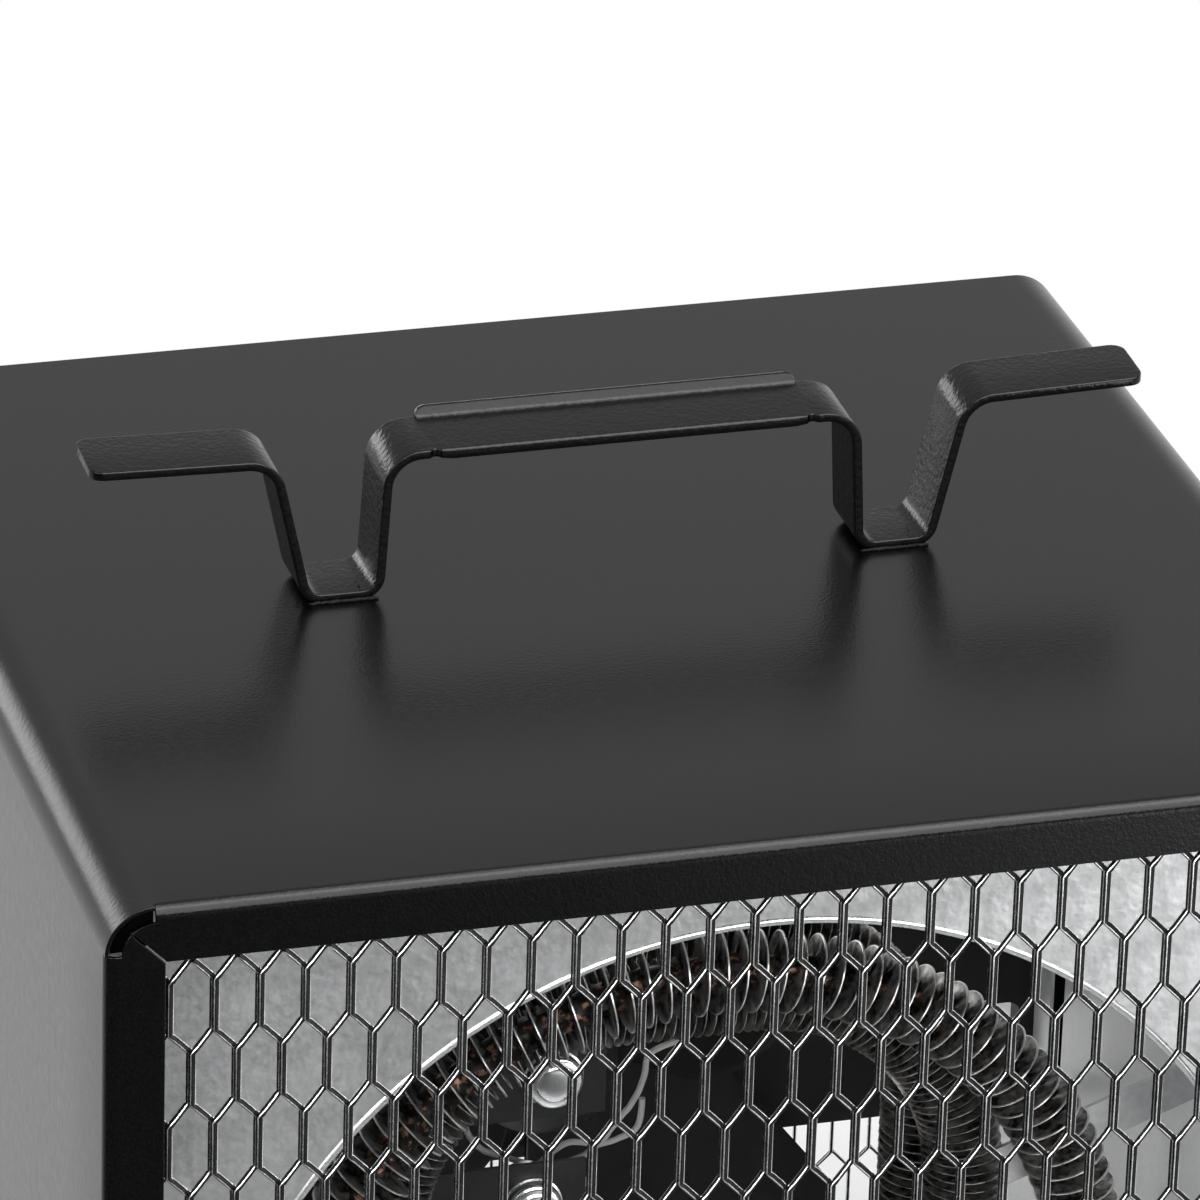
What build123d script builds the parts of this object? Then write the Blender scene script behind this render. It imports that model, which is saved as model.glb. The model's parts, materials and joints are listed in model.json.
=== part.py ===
from build123d import *
import os
from math import cos, sin, radians, asin

# Portable electric garage heater. Front faces -Y, +Z is up, the floor is z = 0.

# Casing, bent from one sheet
case_width = 333.0
case_depth = 305.0
case_height = 360.0
sheet = 1.0
corner_radius = 12.0
flange_width = 14.5
bend_radius = 3.0
corner_slot = 3.0
corner_edge_setback = 0.5
mitre_gap = 0.4

# Rubber feet
foot_height = 11.0
foot_radius = 10.0
foot_recess = 4.0
foot_recess_radius = 5.0
foot_inset = 34.0

# Carry handle, one bent strap
strap_width = 19.0
strap_thickness = 2.0
strap_front_setback = 147.4
wing_reach = 136.7
wing_height = 40.6
wing_drop = 1.2
wing_bend_x = 88.9
foot_outer_x = 81.7
foot_inner_x = 62.3
grip_bend_x = 60.2
grip_height = 39.0
wing_bend = 7.0
foot_bend = 4.0
grip_bend = 9.0
tip_rounding = 3.5
lip_half_length = 47.5
lip_rise = 5.0
lip_lean = 25.0
lip_end_rounding = 3.5
front_lip_drop = 0.8
front_lip_rounding = 1.8
lip_notch_radius = 1.4

# Expanded metal of both grilles
mesh_pitch = 18.3
mesh_row = 31.8
mesh_bond = 2.4
mesh_strand = 2.2
mesh_peak = 9.5
mesh_thickness = 2.2

# Front grille
mesh_overlap = 8.0
mesh_rim = 2.5

# Rear grille
rear_window_side = 26.5
rear_window_low = 52.0
rear_window_high = 26.0
rear_window_rounding = 12.0
rear_overlap = 12.0
rear_rim = 6.0

# Control fascia and the compartment behind it
fascia_height = 40.0
fascia_gap = 0.4
fascia_return = 12.0

# Heat chamber
opening_radius = 137.0
opening_drop = 169.0
opening_collar = 3.0
baffle_setback = 18.0
baffle_side_flange = 10.0
baffle_clearance = 0.3
liner_gap = 15.5
liner_rear_gap = 16.0
liner_flange = 8.0
liner_top_gap = 17.0
liner_slot_gap = 12.0
liner_slot_width = 11.0
liner_slot_margin = 40.0
chamber_floor_rear_gap = 11.0

# Finned heating elements
sheath_radius = 4.2
fin_radius = 10.4
fin_thickness = 0.8
fin_spacing = 17.0
ring_radius = 101.8
ring_setback = 61.0
ring_end_x = 22.0
ring_end_bend = 12.0
loop_front_setback = 84.0
loop_rear_setback = 119.0
loop_leg_x = 75.5
loop_rise = 83.0
loop_arch_radius = 59.0
floor_hole_clearance = 0.5
cold_end_drop = 14.0
stud_radius = 2.2
stud_length = 9.0

# Element supports
support_width = 11.0
support_thickness = 1.2
support_angle = 21.0
support_inner_radius = 93.0
support_flange = 12.0
support_clearance = 0.3

# Thermal cut-outs
cutout_setback = 101.0
cutout_upper_x = -28.0
cutout_upper_drop = 114.0
cutout_lower_x = -32.5
cutout_lower_drop = 150.0
cutout_cap_radius = 7.4
cutout_cap_depth = 4.5
cutout_neck_radius = 5.5
cutout_base_radius = 8.0
cutout_base_depth = 8.0
cutout_clearance = 0.2
cutout_arm_height = 23.0
cutout_arm_end = 14.0
cutout_web_x = -100.0
cutout_plate_thickness = 1.2
cutout_flange = 10.0
tab_width = 6.3
tab_thickness = 0.8
tab_length = 6.0
tab_spread = 7.0
lead_side = 1.9
lead_bend = 6.0
lead_bend_radius = 3.6
lead_bow = 30.0
lead_drop = 20.0
lead_sling = 13.0

# Fan
fan_radius = 112.0
blade_count = 4
blade_thickness = 1.5
blade_root_radius = 15.0
blade_root_width = 20.0
blade_shoulder_radius = 38.0
blade_shoulder_width = 70.0
blade_belly_radius = 60.0
blade_belly_width = 71.0
blade_tip_width = 62.0
blade_rounding = 12.0
blade_pitch = 30.0
blade_camber = 6.0
fan_rest_angle = -48.0
fan_gap = 31.0
hub_radius = 20.0
hub_length = 22.0

# Motor and the plate that carries it
shaft_radius = 4.0
shaft_clearance = 0.06
shaft_nose = 3.0
shaft_depth = 24.0
motor_radius = 40.0
motor_bell_radius = 35.0
motor_bell_length = 8.0
motor_can_length = 26.0
motor_boss_radius = 12.0
motor_boss_length = 4.0
motor_plate_inset = 57.0
motor_plate_height = 100.0
motor_plate_thickness = 2.0
motor_plate_flange = 14.0
motor_screw_radius = 2.0
motor_screw_head = 3.0
motor_screw_depth = 8.0
motor_screw_circle = 28.0

# Back panel
back_recess = 4.0
back_flange = 10.0

# Base pan
pan_flange = 14.0
pan_corner_notch = 6.0

# Controls
bush_radius = 4.7
bush_length = 9.0
bush_clearance = 0.15
spindle_radius = 3.0
spindle_clearance = 0.06
spindle_inside = 8.0
control_body = 23.0
control_depth = 22.0
control_margin = 2.0
control_inset = 74.5
control_spacing = 54.0
knob_radius = 14.5
knob_height = 15.0
knob_skirt = 3.0
knob_grip_radius = 12.0
knob_grip_flat = 9.8
knob_clearance = 1.0
knob_cavity_radius = 8.2
knob_cavity_depth = 8.0
knob_cap = 2.5
nut_across = 13.0
nut_thickness = 2.0
pointer_width = 2.0
pointer_depth = 0.8
lamp_spacing = 58.0
lamp_radius = 4.0
lamp_rim_radius = 6.0
lamp_rim = 1.5
lamp_body_length = 18.0

# Mains inlet
gland_inset = 48.5
gland_height = 24.0
gland_bore_radius = 7.5
gland_thread_radius = 10.0
gland_hex_across = 25.0
gland_out = 14.0
gland_in = 10.0
gland_cap_length = 8.0
gland_cap_radius = 11.0
gland_nut_thickness = 4.0
gland_clearance = 0.2
block_length = 54.0
block_depth = 24.0
block_height = 18.0
block_rear_gap = 40.0
block_groove = 4.0
block_poles = 3

# Screws
screw_radius = 1.8
screw_across = 7.0
screw_head = 2.0
screw_length = 4.0
screw_clearance = 0.2
side_screw_height = 8.0
side_screw_inset = 42.0
guard_screw_inset = 45.0

# Places worked out from the sizes above
knob_stand_out = knob_clearance + knob_height
rear_stand_out = gland_out - back_recess
front_y = -(case_depth + knob_stand_out + rear_stand_out) / 2 + knob_stand_out
rear_y = front_y + case_depth
bottom_z = foot_height - sheet
top_z = bottom_z + case_height
half_width = case_width / 2
inner_x = half_width - sheet
window_x = half_width - flange_width
window_low = bottom_z + fascia_height
window_high = top_z - flange_width
axis_z = top_z - opening_drop
floor_top = foot_height + sheet
mesh_front = front_y + sheet
baffle_y = front_y + baffle_setback
chamber_y = baffle_y + sheet
chamber_z = window_low
back_outer = rear_y - back_recess
back_inner = back_outer - sheet
chamber_rear = back_inner - liner_rear_gap
pan_rear = back_inner
liner_x = inner_x - liner_gap
rear_window_half = half_width - rear_window_side
ring_y = front_y + ring_setback
plate_front = back_inner - motor_plate_inset
fan_y = plate_front - fan_gap
plate_back = plate_front + motor_plate_thickness
boss_front = plate_back - motor_boss_length
cutout_y = front_y + cutout_setback
control_z = bottom_z + fascia_height / 2
control_front = front_y + sheet
thermostat_x = half_width - control_inset
selector_x = thermostat_x - control_spacing
lamp_x = selector_x - lamp_spacing
gland_x = half_width - gland_inset
gland_z = bottom_z + gland_height
loop_setbacks = (loop_front_setback, loop_rear_setback)


def box(x0, x1, y0, y1, z0, z1):
    size = (x1 - x0, y1 - y0, z1 - z0)
    return Pos((x0 + x1) / 2, (y0 + y1) / 2, (z0 + z1) / 2) * Box(*size)


def xz_slab(sketch, y0, y1):
    """A sketch drawn in X and Z, made solid from y0 to y1."""
    return extrude(Plane.XZ.offset(-y1) * sketch, amount=y1 - y0)


def yz_slab(sketch, x0, x1):
    """A sketch drawn in Y and Z, made solid from x0 to x1."""
    return extrude(Plane.YZ.offset(x0) * sketch, amount=x1 - x0)


def rod(radius, x, z, y0, y1):
    """A round bar along Y."""
    return xz_slab(Pos(x, z) * Circle(radius), y0, y1)


def hex_rod(across, x, z, y0, y1):
    """A hexagonal bar along Y."""
    return xz_slab(Pos(x, z) * RegularPolygon(across / 2, 6, major_radius=False), y0, y1)


def arch_face(half, low, high, radius):
    """A rectangle with its two upper corners rounded."""
    body = Pos(0, (low + high) / 2) * Rectangle(2 * half, high - low)
    return fillet(body.vertices().group_by(Axis.Y)[-1], radius)


def casing_skin():
    outer = arch_face(half_width, bottom_z, top_z, corner_radius)
    inner = arch_face(inner_x, bottom_z - sheet, top_z - sheet, corner_radius - sheet)
    skin_face = outer - inner
    skin = xz_slab(skin_face, front_y + bend_radius, rear_y)
    for side in (-1, 1):
        centre_x = side * (half_width - corner_radius / 2)
        corner = Pos(centre_x, top_z - corner_radius / 2) * Rectangle(corner_radius, corner_radius)
        corner_edge = front_y + corner_edge_setback
        skin += xz_slab(skin_face & corner, corner_edge, front_y + bend_radius)
    return skin


def bend_face():
    """Section of a front bend, its centre at the sketch's origin."""
    ring = Circle(bend_radius) - Circle(bend_radius - sheet)
    return ring & (Pos(-bend_radius / 2, bend_radius / 2) * Rectangle(bend_radius, bend_radius))


def casing_flanges():
    arc_x = half_width - corner_radius
    arc_z = top_z - corner_radius
    land_radius = corner_radius - sheet - corner_slot
    top_low = top_z - flange_width
    strip_high = top_z - bend_radius
    face = Pos(0, (top_low + strip_high) / 2) * Rectangle(2 * arc_x, strip_high - top_low)
    for side in (-1, 1):
        strip_in = half_width - flange_width
        strip_out = half_width - bend_radius
        strip = Pos(side * (strip_in + strip_out) / 2, (bottom_z + arc_z) / 2)
        face += strip * Rectangle(strip_out - strip_in, arc_z - bottom_z)
        land = Pos(side * arc_x, arc_z) * Circle(land_radius)
        quarter = Pos(side * (arc_x + land_radius / 2), arc_z + land_radius / 2)
        face += land & (quarter * Rectangle(land_radius, land_radius))
    for side in (-1, 1):
        cut = Pos(side * arc_x, arc_z) * Rot(0, 0, side * 45) * Rectangle(2 * flange_width, mitre_gap)
        face -= cut
    flanges = xz_slab(face, front_y, front_y + sheet)
    centre = Pos(front_y + bend_radius, top_z - bend_radius)
    flanges += yz_slab(centre * bend_face(), -arc_x, arc_x)
    bend = Pos(-half_width + bend_radius, front_y + bend_radius) * Rot(0, 0, 90) * bend_face()
    side_bend = extrude(Plane.XY.offset(bottom_z) * bend, amount=arc_z - bottom_z)
    flanges += side_bend
    flanges += mirror(side_bend, about=Plane.YZ)
    return flanges


def casing_wrap():
    wrap = casing_skin() + casing_flanges()
    for side, y in side_screw_places():
        wrap -= side_hole(side, y)
    return wrap


def strap_outline():
    """Underside of the strap from tip to tip, in X and Z, turned to a closed band."""
    foot_z = top_z
    grip_z = top_z + grip_height - strap_thickness
    wing_z = top_z + wing_height - wing_drop - strap_thickness
    tip_z = top_z + wing_height - strap_thickness
    right = [
        (grip_bend_x, grip_z),
        (foot_inner_x, foot_z),
        (foot_outer_x, foot_z),
        (wing_bend_x, wing_z),
        (wing_reach, tip_z),
    ]
    left = [(-x, z) for x, z in reversed(right)]
    inside = foot_bend + strap_thickness
    bends = [wing_bend - strap_thickness, inside, inside, grip_bend - strap_thickness]
    line = FilletPolyline(*left, *right, radius=[*bends, *reversed(bends)])
    band = offset(line, amount=strap_thickness, side=Side.LEFT)
    return make_face(band)


def across_sheet(edge):
    """True for an edge that runs straight through the strap's thickness."""
    return abs(edge.length - strap_thickness) < 0.01


def grip_lips(y0, y1):
    """The turned-up rear lip and the rolled-down front lip of the grip."""
    grip_top = top_z + grip_height
    low = grip_top - strap_thickness
    tilt = radians(lip_lean)
    reach = (lip_rise + strap_thickness) * sin(tilt)
    rise = (lip_rise + strap_thickness) * cos(tilt)
    across = strap_thickness * cos(tilt)
    down = strap_thickness * sin(tilt)
    lip = Polyline(
        (y1 - strap_thickness, low),
        (y1, low),
        (y1 + reach, low + rise),
        (y1 + reach - across, low + rise + down),
        (y1 - strap_thickness, grip_top),
        close=True,
    )
    rear = yz_slab(make_face(lip), -lip_half_length, lip_half_length)
    ends = rear.edges().filter_by(across_sheet).group_by(Axis.Z)[-1]
    rear = fillet(ends, lip_end_rounding)
    y2 = y0 + strap_thickness
    return rear + box(-lip_half_length, lip_half_length, y0, y2, low - front_lip_drop, low)


def carry_handle():
    y0 = front_y + strap_front_setback
    y1 = y0 + strap_width
    strap = xz_slab(strap_outline(), y0, y1)
    tips = strap.edges().filter_by(across_sheet)
    tips = tips.filter_by(lambda edge: abs(edge.center().X) > wing_bend_x)
    strap = fillet(tips, tip_rounding)
    grip_top = top_z + grip_height
    nose_y = y0 + front_lip_rounding
    nose_z = grip_top - front_lip_rounding
    rounding = box(-lip_half_length, lip_half_length, y0, nose_y, nose_z, grip_top)
    rounding -= yz_slab(Pos(nose_y, nose_z) * Circle(front_lip_rounding), -lip_half_length, lip_half_length)
    strap = strap + grip_lips(y0, y1) - rounding
    for side in (-1, 1):
        notch = Pos(side * (lip_half_length + lip_notch_radius), y0, grip_top)
        strap -= notch * Cylinder(lip_notch_radius, 3 * strap_thickness)
    return strap


def clipped(ring, axis, limit, side):
    """The part of a ring of points that lies inside a straight limit."""
    kept = []
    for a, b in zip(ring, ring[1:] + ring[:1]):
        from_a = side * (limit - a[axis])
        from_b = side * (limit - b[axis])
        if from_a >= 0:
            kept.append(a)
        if from_a * from_b < 0:
            share = from_a / (from_a - from_b)
            kept.append(tuple(p + (q - p) * share for p, q in zip(a, b)))
    return kept


def mesh_cell(x, z):
    """Corners of one hexagonal opening."""
    half = (mesh_pitch - mesh_bond) / 2
    tip = (mesh_row + mesh_peak - mesh_strand) / 2
    shoulder = (mesh_row - mesh_peak) / 2
    right = [(0, tip), (half, shoulder), (half, -shoulder)]
    return [(x + px, z + pz) for px, pz in right] + [(x - px, z - pz) for px, pz in right]


def expanded_sheet(reach, low, high, rim, y0):
    """A sheet with staggered rows of hexagonal openings inside a plain rim."""
    columns = int(reach / mesh_pitch) + 1
    rows = int((high - low) / mesh_row) + 1
    middle = (low + high) / 2
    cells = []
    for r in range(-rows, rows + 1):
        for c in range(-columns, columns + 1):
            stagger = 0.5 * (r % 2)
            ring = mesh_cell((c + stagger) * mesh_pitch, middle + r * mesh_row)
            ring = clipped(ring, 0, reach - rim, 1)
            ring = clipped(ring, 0, rim - reach, -1)
            ring = clipped(ring, 1, high - rim, 1)
            ring = clipped(ring, 1, low + rim, -1)
            wide = max((p[0] for p in ring), default=0) - min((p[0] for p in ring), default=0)
            tall = max((p[1] for p in ring), default=0) - min((p[1] for p in ring), default=0)
            if min(wide, tall) > mesh_bond:
                cells.append(Wire.make_polygon([(px, y0, pz) for px, pz in ring], close=True))
    edge = [(-reach, y0, low), (reach, y0, low), (reach, y0, high), (-reach, y0, high)]
    face = Face(Wire.make_polygon(edge, close=True), cells)
    return Solid.extrude(face, Vector(0, mesh_thickness, 0))


def front_grille():
    low = window_low - mesh_overlap
    high = window_high + mesh_overlap
    return expanded_sheet(window_x + mesh_overlap, low, high, mesh_rim, mesh_front)


def rear_grille():
    low = bottom_z + rear_window_low - rear_overlap
    high = top_z - rear_window_high + rear_overlap
    y0 = back_inner - mesh_thickness
    mesh = expanded_sheet(rear_window_half + rear_overlap, low, high, rear_rim, y0)
    for x, z in guard_screw_places():
        mesh -= rod(screw_radius + screw_clearance, x, z, y0 - 1, back_inner + 1)
    return mesh


def back_panel():
    low = bottom_z + rear_window_low
    high = top_z - rear_window_high
    face = arch_face(inner_x, bottom_z, top_z - sheet, corner_radius - sheet)
    window = RectangleRounded(2 * rear_window_half, high - low, rear_window_rounding)
    window = Pos(0, (low + high) / 2) * window
    panel = xz_slab(face - window, back_inner, back_outer)
    inside = arch_face(inner_x - sheet, bottom_z - sheet, top_z - 2 * sheet, corner_radius - 2 * sheet)
    flange = xz_slab(face - inside, back_inner - back_flange, back_inner)
    above = foot_height + pan_flange + sheet
    panel += flange & box(-half_width, half_width, back_inner - back_flange, back_inner, above, top_z)
    panel -= rod(gland_thread_radius + gland_clearance, gland_x, gland_z, back_inner - 1, back_outer + 1)
    for x, z in guard_screw_places():
        panel -= rod(screw_radius + screw_clearance, x, z, back_inner - 1, back_outer + 1)
    return panel


def guard_screw_places():
    x = rear_window_half + rear_overlap - rear_rim / 2
    low = bottom_z + rear_window_low + guard_screw_inset
    high = top_z - rear_window_high - guard_screw_inset
    return [(side * x, z) for side in (-1, 1) for z in (low, high)]


def guard_screws():
    screws = []
    for x, z in guard_screw_places():
        head = hex_rod(screw_across, x, z, back_outer, back_outer + screw_head)
        screws.append(head + rod(screw_radius, x, z, back_outer - screw_length, back_outer))
    return Compound(children=screws)


def control_fascia():
    half = window_x - fascia_gap
    plate = box(-half, half, front_y, front_y + sheet, bottom_z + bend_radius, window_low)
    bend = Pos(front_y + bend_radius, bottom_z + bend_radius) * Rot(0, 0, 90) * bend_face()
    plate += yz_slab(bend, -half, half)
    plate += box(-half, half, front_y + bend_radius, front_y + fascia_return, bottom_z, bottom_z + sheet)
    for x in (thermostat_x, selector_x):
        plate -= rod(bush_radius + bush_clearance, x, control_z, front_y - 1, front_y + 2 * sheet)
    plate -= rod(lamp_radius + bush_clearance, lamp_x, control_z, front_y - 1, front_y + 2 * sheet)
    return plate


def screw_hexagon():
    return RegularPolygon(screw_across / 2, 6, major_radius=False)


def side_screw_places():
    ends = (front_y + side_screw_inset, rear_y - side_screw_inset)
    return [(side, y) for side in (-1, 1) for y in ends]


def side_hole(side, y):
    z = foot_height + side_screw_height
    reach = half_width + screw_head
    bore = Plane.YZ.offset(side * reach) * Pos(y, z) * Circle(screw_radius + screw_clearance)
    return extrude(bore, amount=-side * 4 * screw_head)


def side_screws():
    screws = []
    for side, y in side_screw_places():
        seat = Plane.YZ.offset(side * half_width) * Pos(y, foot_height + side_screw_height)
        head = extrude(seat * screw_hexagon(), amount=side * screw_head)
        screws.append(head + extrude(seat * Circle(screw_radius), amount=-side * screw_length))
    return Compound(children=screws)


def foot_places():
    x = half_width - foot_inset
    return [(sx * x, y) for sx in (-1, 1) for y in (front_y + foot_inset, rear_y - foot_inset)]


def base_pan():
    y0 = front_y + bend_radius
    y1 = pan_rear
    high = foot_height + pan_flange
    pan = box(-inner_x, inner_x, y0, y1, foot_height, high)
    pan -= box(-inner_x + sheet, inner_x - sheet, y0 + sheet, y1 - sheet, floor_top, high + 1)
    for sx in (-1, 1):
        for y in (y0, y1):
            notch = Box(2 * pan_corner_notch, 2 * pan_corner_notch, pan_flange + 2)
            pan -= Pos(sx * inner_x, y, (foot_height + high) / 2) * notch
    for x in (thermostat_x, selector_x):
        half = control_body / 2 + control_margin
        pan -= box(x - half, x + half, y0 - 1, y0 + 2 * sheet, floor_top, high + 1)
    pan -= rod(gland_thread_radius + gland_clearance, gland_x, gland_z, y1 - 2 * sheet, y1 + sheet)
    for x, y in foot_places():
        pan -= Pos(x, y, foot_height) * Cylinder(screw_radius + screw_clearance, 4 * sheet)
    for side, y in side_screw_places():
        pan -= side_hole(side, y)
    return pan


def rubber_foot(x, y):
    foot = Pos(x, y, foot_height / 2) * Cylinder(foot_radius, foot_height)
    foot -= Pos(x, y, foot_height / 2) * Cylinder(screw_radius + screw_clearance, foot_height + 2)
    return foot - Pos(x, y, foot_recess / 2) * Cylinder(foot_recess_radius, foot_recess)


def foot_screws():
    screws = []
    length = floor_top + screw_head - foot_recess
    for x, y in foot_places():
        head = Pos(x, y, foot_recess - screw_head) * extrude(screw_hexagon(), amount=screw_head)
        screws.append(head + Pos(x, y, foot_recess + length / 2) * Cylinder(screw_radius, length))
    return Compound(children=screws)


def baffle_plate():
    """A plate with one round opening, its lower edge bent forward to the grille."""
    high = top_z - sheet
    plate = xz_slab(arch_face(inner_x, chamber_z, high, corner_radius - sheet), baffle_y, chamber_y)
    shelf_y = mesh_front + mesh_thickness + baffle_clearance
    plate += box(-window_x, window_x, shelf_y, baffle_y, chamber_z, chamber_z + sheet)
    plate += rod(opening_radius + sheet, 0, axis_z, baffle_y, baffle_y + opening_collar)
    plate -= rod(opening_radius, 0, axis_z, baffle_y - 1, baffle_y + opening_collar + 1)
    flange_top = top_z - 2 * corner_radius
    for side in (-1, 1):
        x0, x1 = sorted((side * inner_x, side * (inner_x - sheet)))
        plate += box(x0, x1, baffle_y, baffle_y + baffle_side_flange, chamber_z, flange_top)
    return plate


def chamber_floor():
    y1 = back_inner - chamber_floor_rear_gap
    y0 = baffle_y + baffle_side_flange + baffle_clearance
    front_half = inner_x - sheet - baffle_clearance
    plate = box(-front_half, front_half, chamber_y, y0, chamber_z, chamber_z + sheet)
    plate += box(-inner_x, inner_x, y0, y1, chamber_z, chamber_z + sheet)
    for side in (-1, 1):
        x0, x1 = sorted((side * inner_x, side * (inner_x - sheet)))
        plate += box(x0, x1, y0, y1, chamber_z - baffle_side_flange, chamber_z)
    for x, y in element_feet():
        plate -= Pos(x, y, chamber_z) * Cylinder(sheath_radius + floor_hole_clearance, 6 * sheet)
    return plate


def side_liner(side):
    low = chamber_z + sheet
    high = top_z - liner_top_gap - sheet
    x0, x1 = sorted((side * liner_x, side * (liner_x + sheet)))
    out0, out1 = sorted((side * liner_x, side * (liner_x + liner_flange)))
    wall = box(x0, x1, chamber_y, chamber_rear, low, high)
    wall += box(out0, out1, chamber_y, chamber_y + sheet, low, high)
    wall += box(out0, out1, chamber_y, chamber_rear, low, low + sheet)
    slot = plate_front - liner_slot_gap
    slot_low = low + liner_slot_margin
    return wall - box(x0 - 1, x1 + 1, slot - liner_slot_width, slot, slot_low, high - liner_slot_margin)


def top_liner():
    z0 = top_z - liner_top_gap - sheet
    half = liner_x + sheet
    sheet_top = box(-half, half, chamber_y, chamber_rear, z0, z0 + sheet)
    return sheet_top + box(-half, half, chamber_y, chamber_y + sheet, z0, z0 + liner_flange)


def finned_tube(path, bare):
    """A swept sheath with fins between its two bare ends."""
    tube = sweep(Plane(origin=path @ 0, z_dir=path % 0) * RegularPolygon(sheath_radius, 6), path=path)
    reach = path.length - 2 * bare
    count = round(reach / fin_spacing)
    fins = []
    for i in range(count + 1):
        along = (bare + reach * i / count) / path.length
        plane = Plane(origin=path @ along, z_dir=path % along)
        fins.append(extrude(plane * RegularPolygon(fin_radius, 6), amount=fin_thickness / 2, both=True))
    return tube + fins


def element_ring():
    """A ring that ends in two bends and two straight cold ends."""
    turn_x = ring_end_x + ring_end_bend
    span = ring_radius + ring_end_bend
    swing = asin(turn_x / span)
    turn_z = axis_z - span * cos(swing)
    low = chamber_z - cold_end_drop
    middle = radians(45) + swing / 2
    right = [
        (ring_end_x, low),
        (ring_end_x, turn_z),
        (turn_x - ring_end_bend * sin(middle), turn_z + ring_end_bend * cos(middle)),
        (ring_radius * sin(swing), axis_z - ring_radius * cos(swing)),
    ]
    start, corner, bend, touch = [Vector(x, ring_y, z) for x, z in right]
    start_l, corner_l, bend_l, touch_l = [Vector(-x, ring_y, z) for x, z in right]
    crown = Vector(0, ring_y, axis_z + ring_radius)
    path = Wire(
        [
            Line(start_l, corner_l).edge(),
            ThreePointArc(corner_l, bend_l, touch_l).edge(),
            ThreePointArc(touch_l, crown, touch).edge(),
            ThreePointArc(touch, bend, corner).edge(),
            Line(corner, start).edge(),
        ]
    )
    return finned_tube(path, corner.Z - low + ring_end_bend)


def element_loop(setback):
    """A finned hairpin behind the ring, over the top and down on both sides."""
    y = front_y + setback
    low = chamber_z - cold_end_drop
    high = axis_z + loop_rise
    points = [(-loop_leg_x, low), (-loop_leg_x, high), (loop_leg_x, high), (loop_leg_x, low)]
    line = FilletPolyline(*[(x, y, z) for x, z in points], radius=loop_arch_radius)
    return finned_tube(line.wire(), cold_end_drop + fin_radius)


def element_feet():
    """Places where the elements' cold ends pass the chamber floor."""
    feet = [(side * ring_end_x, ring_y) for side in (-1, 1)]
    return feet + [(side * loop_leg_x, front_y + y) for y in loop_setbacks for side in (-1, 1)]


def element_terminals():
    low = chamber_z - cold_end_drop
    stud = Pos(0, 0, low - stud_length / 2) * Cylinder(stud_radius, stud_length)
    return Compound(children=[Pos(x, y) * stud for x, y in element_feet()])


def element_support(side):
    """A strip from the side liner to the back of the ring."""
    y0 = ring_y + fin_radius + support_clearance
    y1 = y0 + support_thickness
    slope = radians(support_angle)
    reach = liner_x / cos(slope)
    length = reach - support_inner_radius + support_width
    bar = Pos((support_inner_radius + reach) / 2, 0) * Rectangle(length, support_width)
    strip = xz_slab(Pos(0, axis_z) * Rot(0, 0, support_angle) * bar, y0, y1)
    strip &= box(0, liner_x, y0, y1, chamber_z, top_z)
    z = axis_z + reach * sin(slope)
    half = support_width / 2 / cos(slope)
    strip += box(liner_x - support_thickness, liner_x, y0, y0 + support_flange, z - half, z + half)
    return strip if side > 0 else mirror(strip, about=Plane.YZ)


def cutout_places():
    upper = (cutout_upper_x, top_z - cutout_upper_drop)
    return upper, (cutout_lower_x, top_z - cutout_lower_drop)


def cutout_bracket():
    y1 = cutout_y + cutout_plate_thickness
    arms = []
    for x, z in cutout_places():
        end = x + cutout_arm_end
        arms.append(Pos((end - liner_x) / 2, z) * Rectangle(end + liner_x, cutout_arm_height))
    upper, lower = cutout_places()
    high = upper[1] + cutout_arm_height / 2
    low = lower[1] - cutout_arm_height / 2
    web = Rectangle(cutout_web_x + liner_x, high - low)
    face = arms[0] + arms[1] + Pos((cutout_web_x - liner_x) / 2, (high + low) / 2) * web
    for x, z in cutout_places():
        face -= Pos(x, z) * Circle(cutout_neck_radius + cutout_clearance)
    flange_x = -liner_x + cutout_plate_thickness
    flange = box(-liner_x, flange_x, cutout_y, cutout_y + cutout_flange, low, high)
    return xz_slab(face, cutout_y, y1) + flange


def cutout_disc(x, z):
    """A disc thermostat: cap in front of the bracket, neck, base and two tabs behind it."""
    back = cutout_y + cutout_plate_thickness
    disc = rod(cutout_cap_radius, x, z, cutout_y - cutout_cap_depth, cutout_y)
    disc += rod(cutout_neck_radius, x, z, cutout_y, back)
    disc += rod(cutout_base_radius, x, z, back, back + cutout_base_depth)
    tab_y = back + cutout_base_depth
    for side in (-1, 1):
        x0 = x + (side * tab_spread - tab_thickness) / 2
        disc += box(x0, x0 + tab_thickness, tab_y, tab_y + tab_length, z - tab_width / 2, z + tab_width / 2)
    return disc


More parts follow.
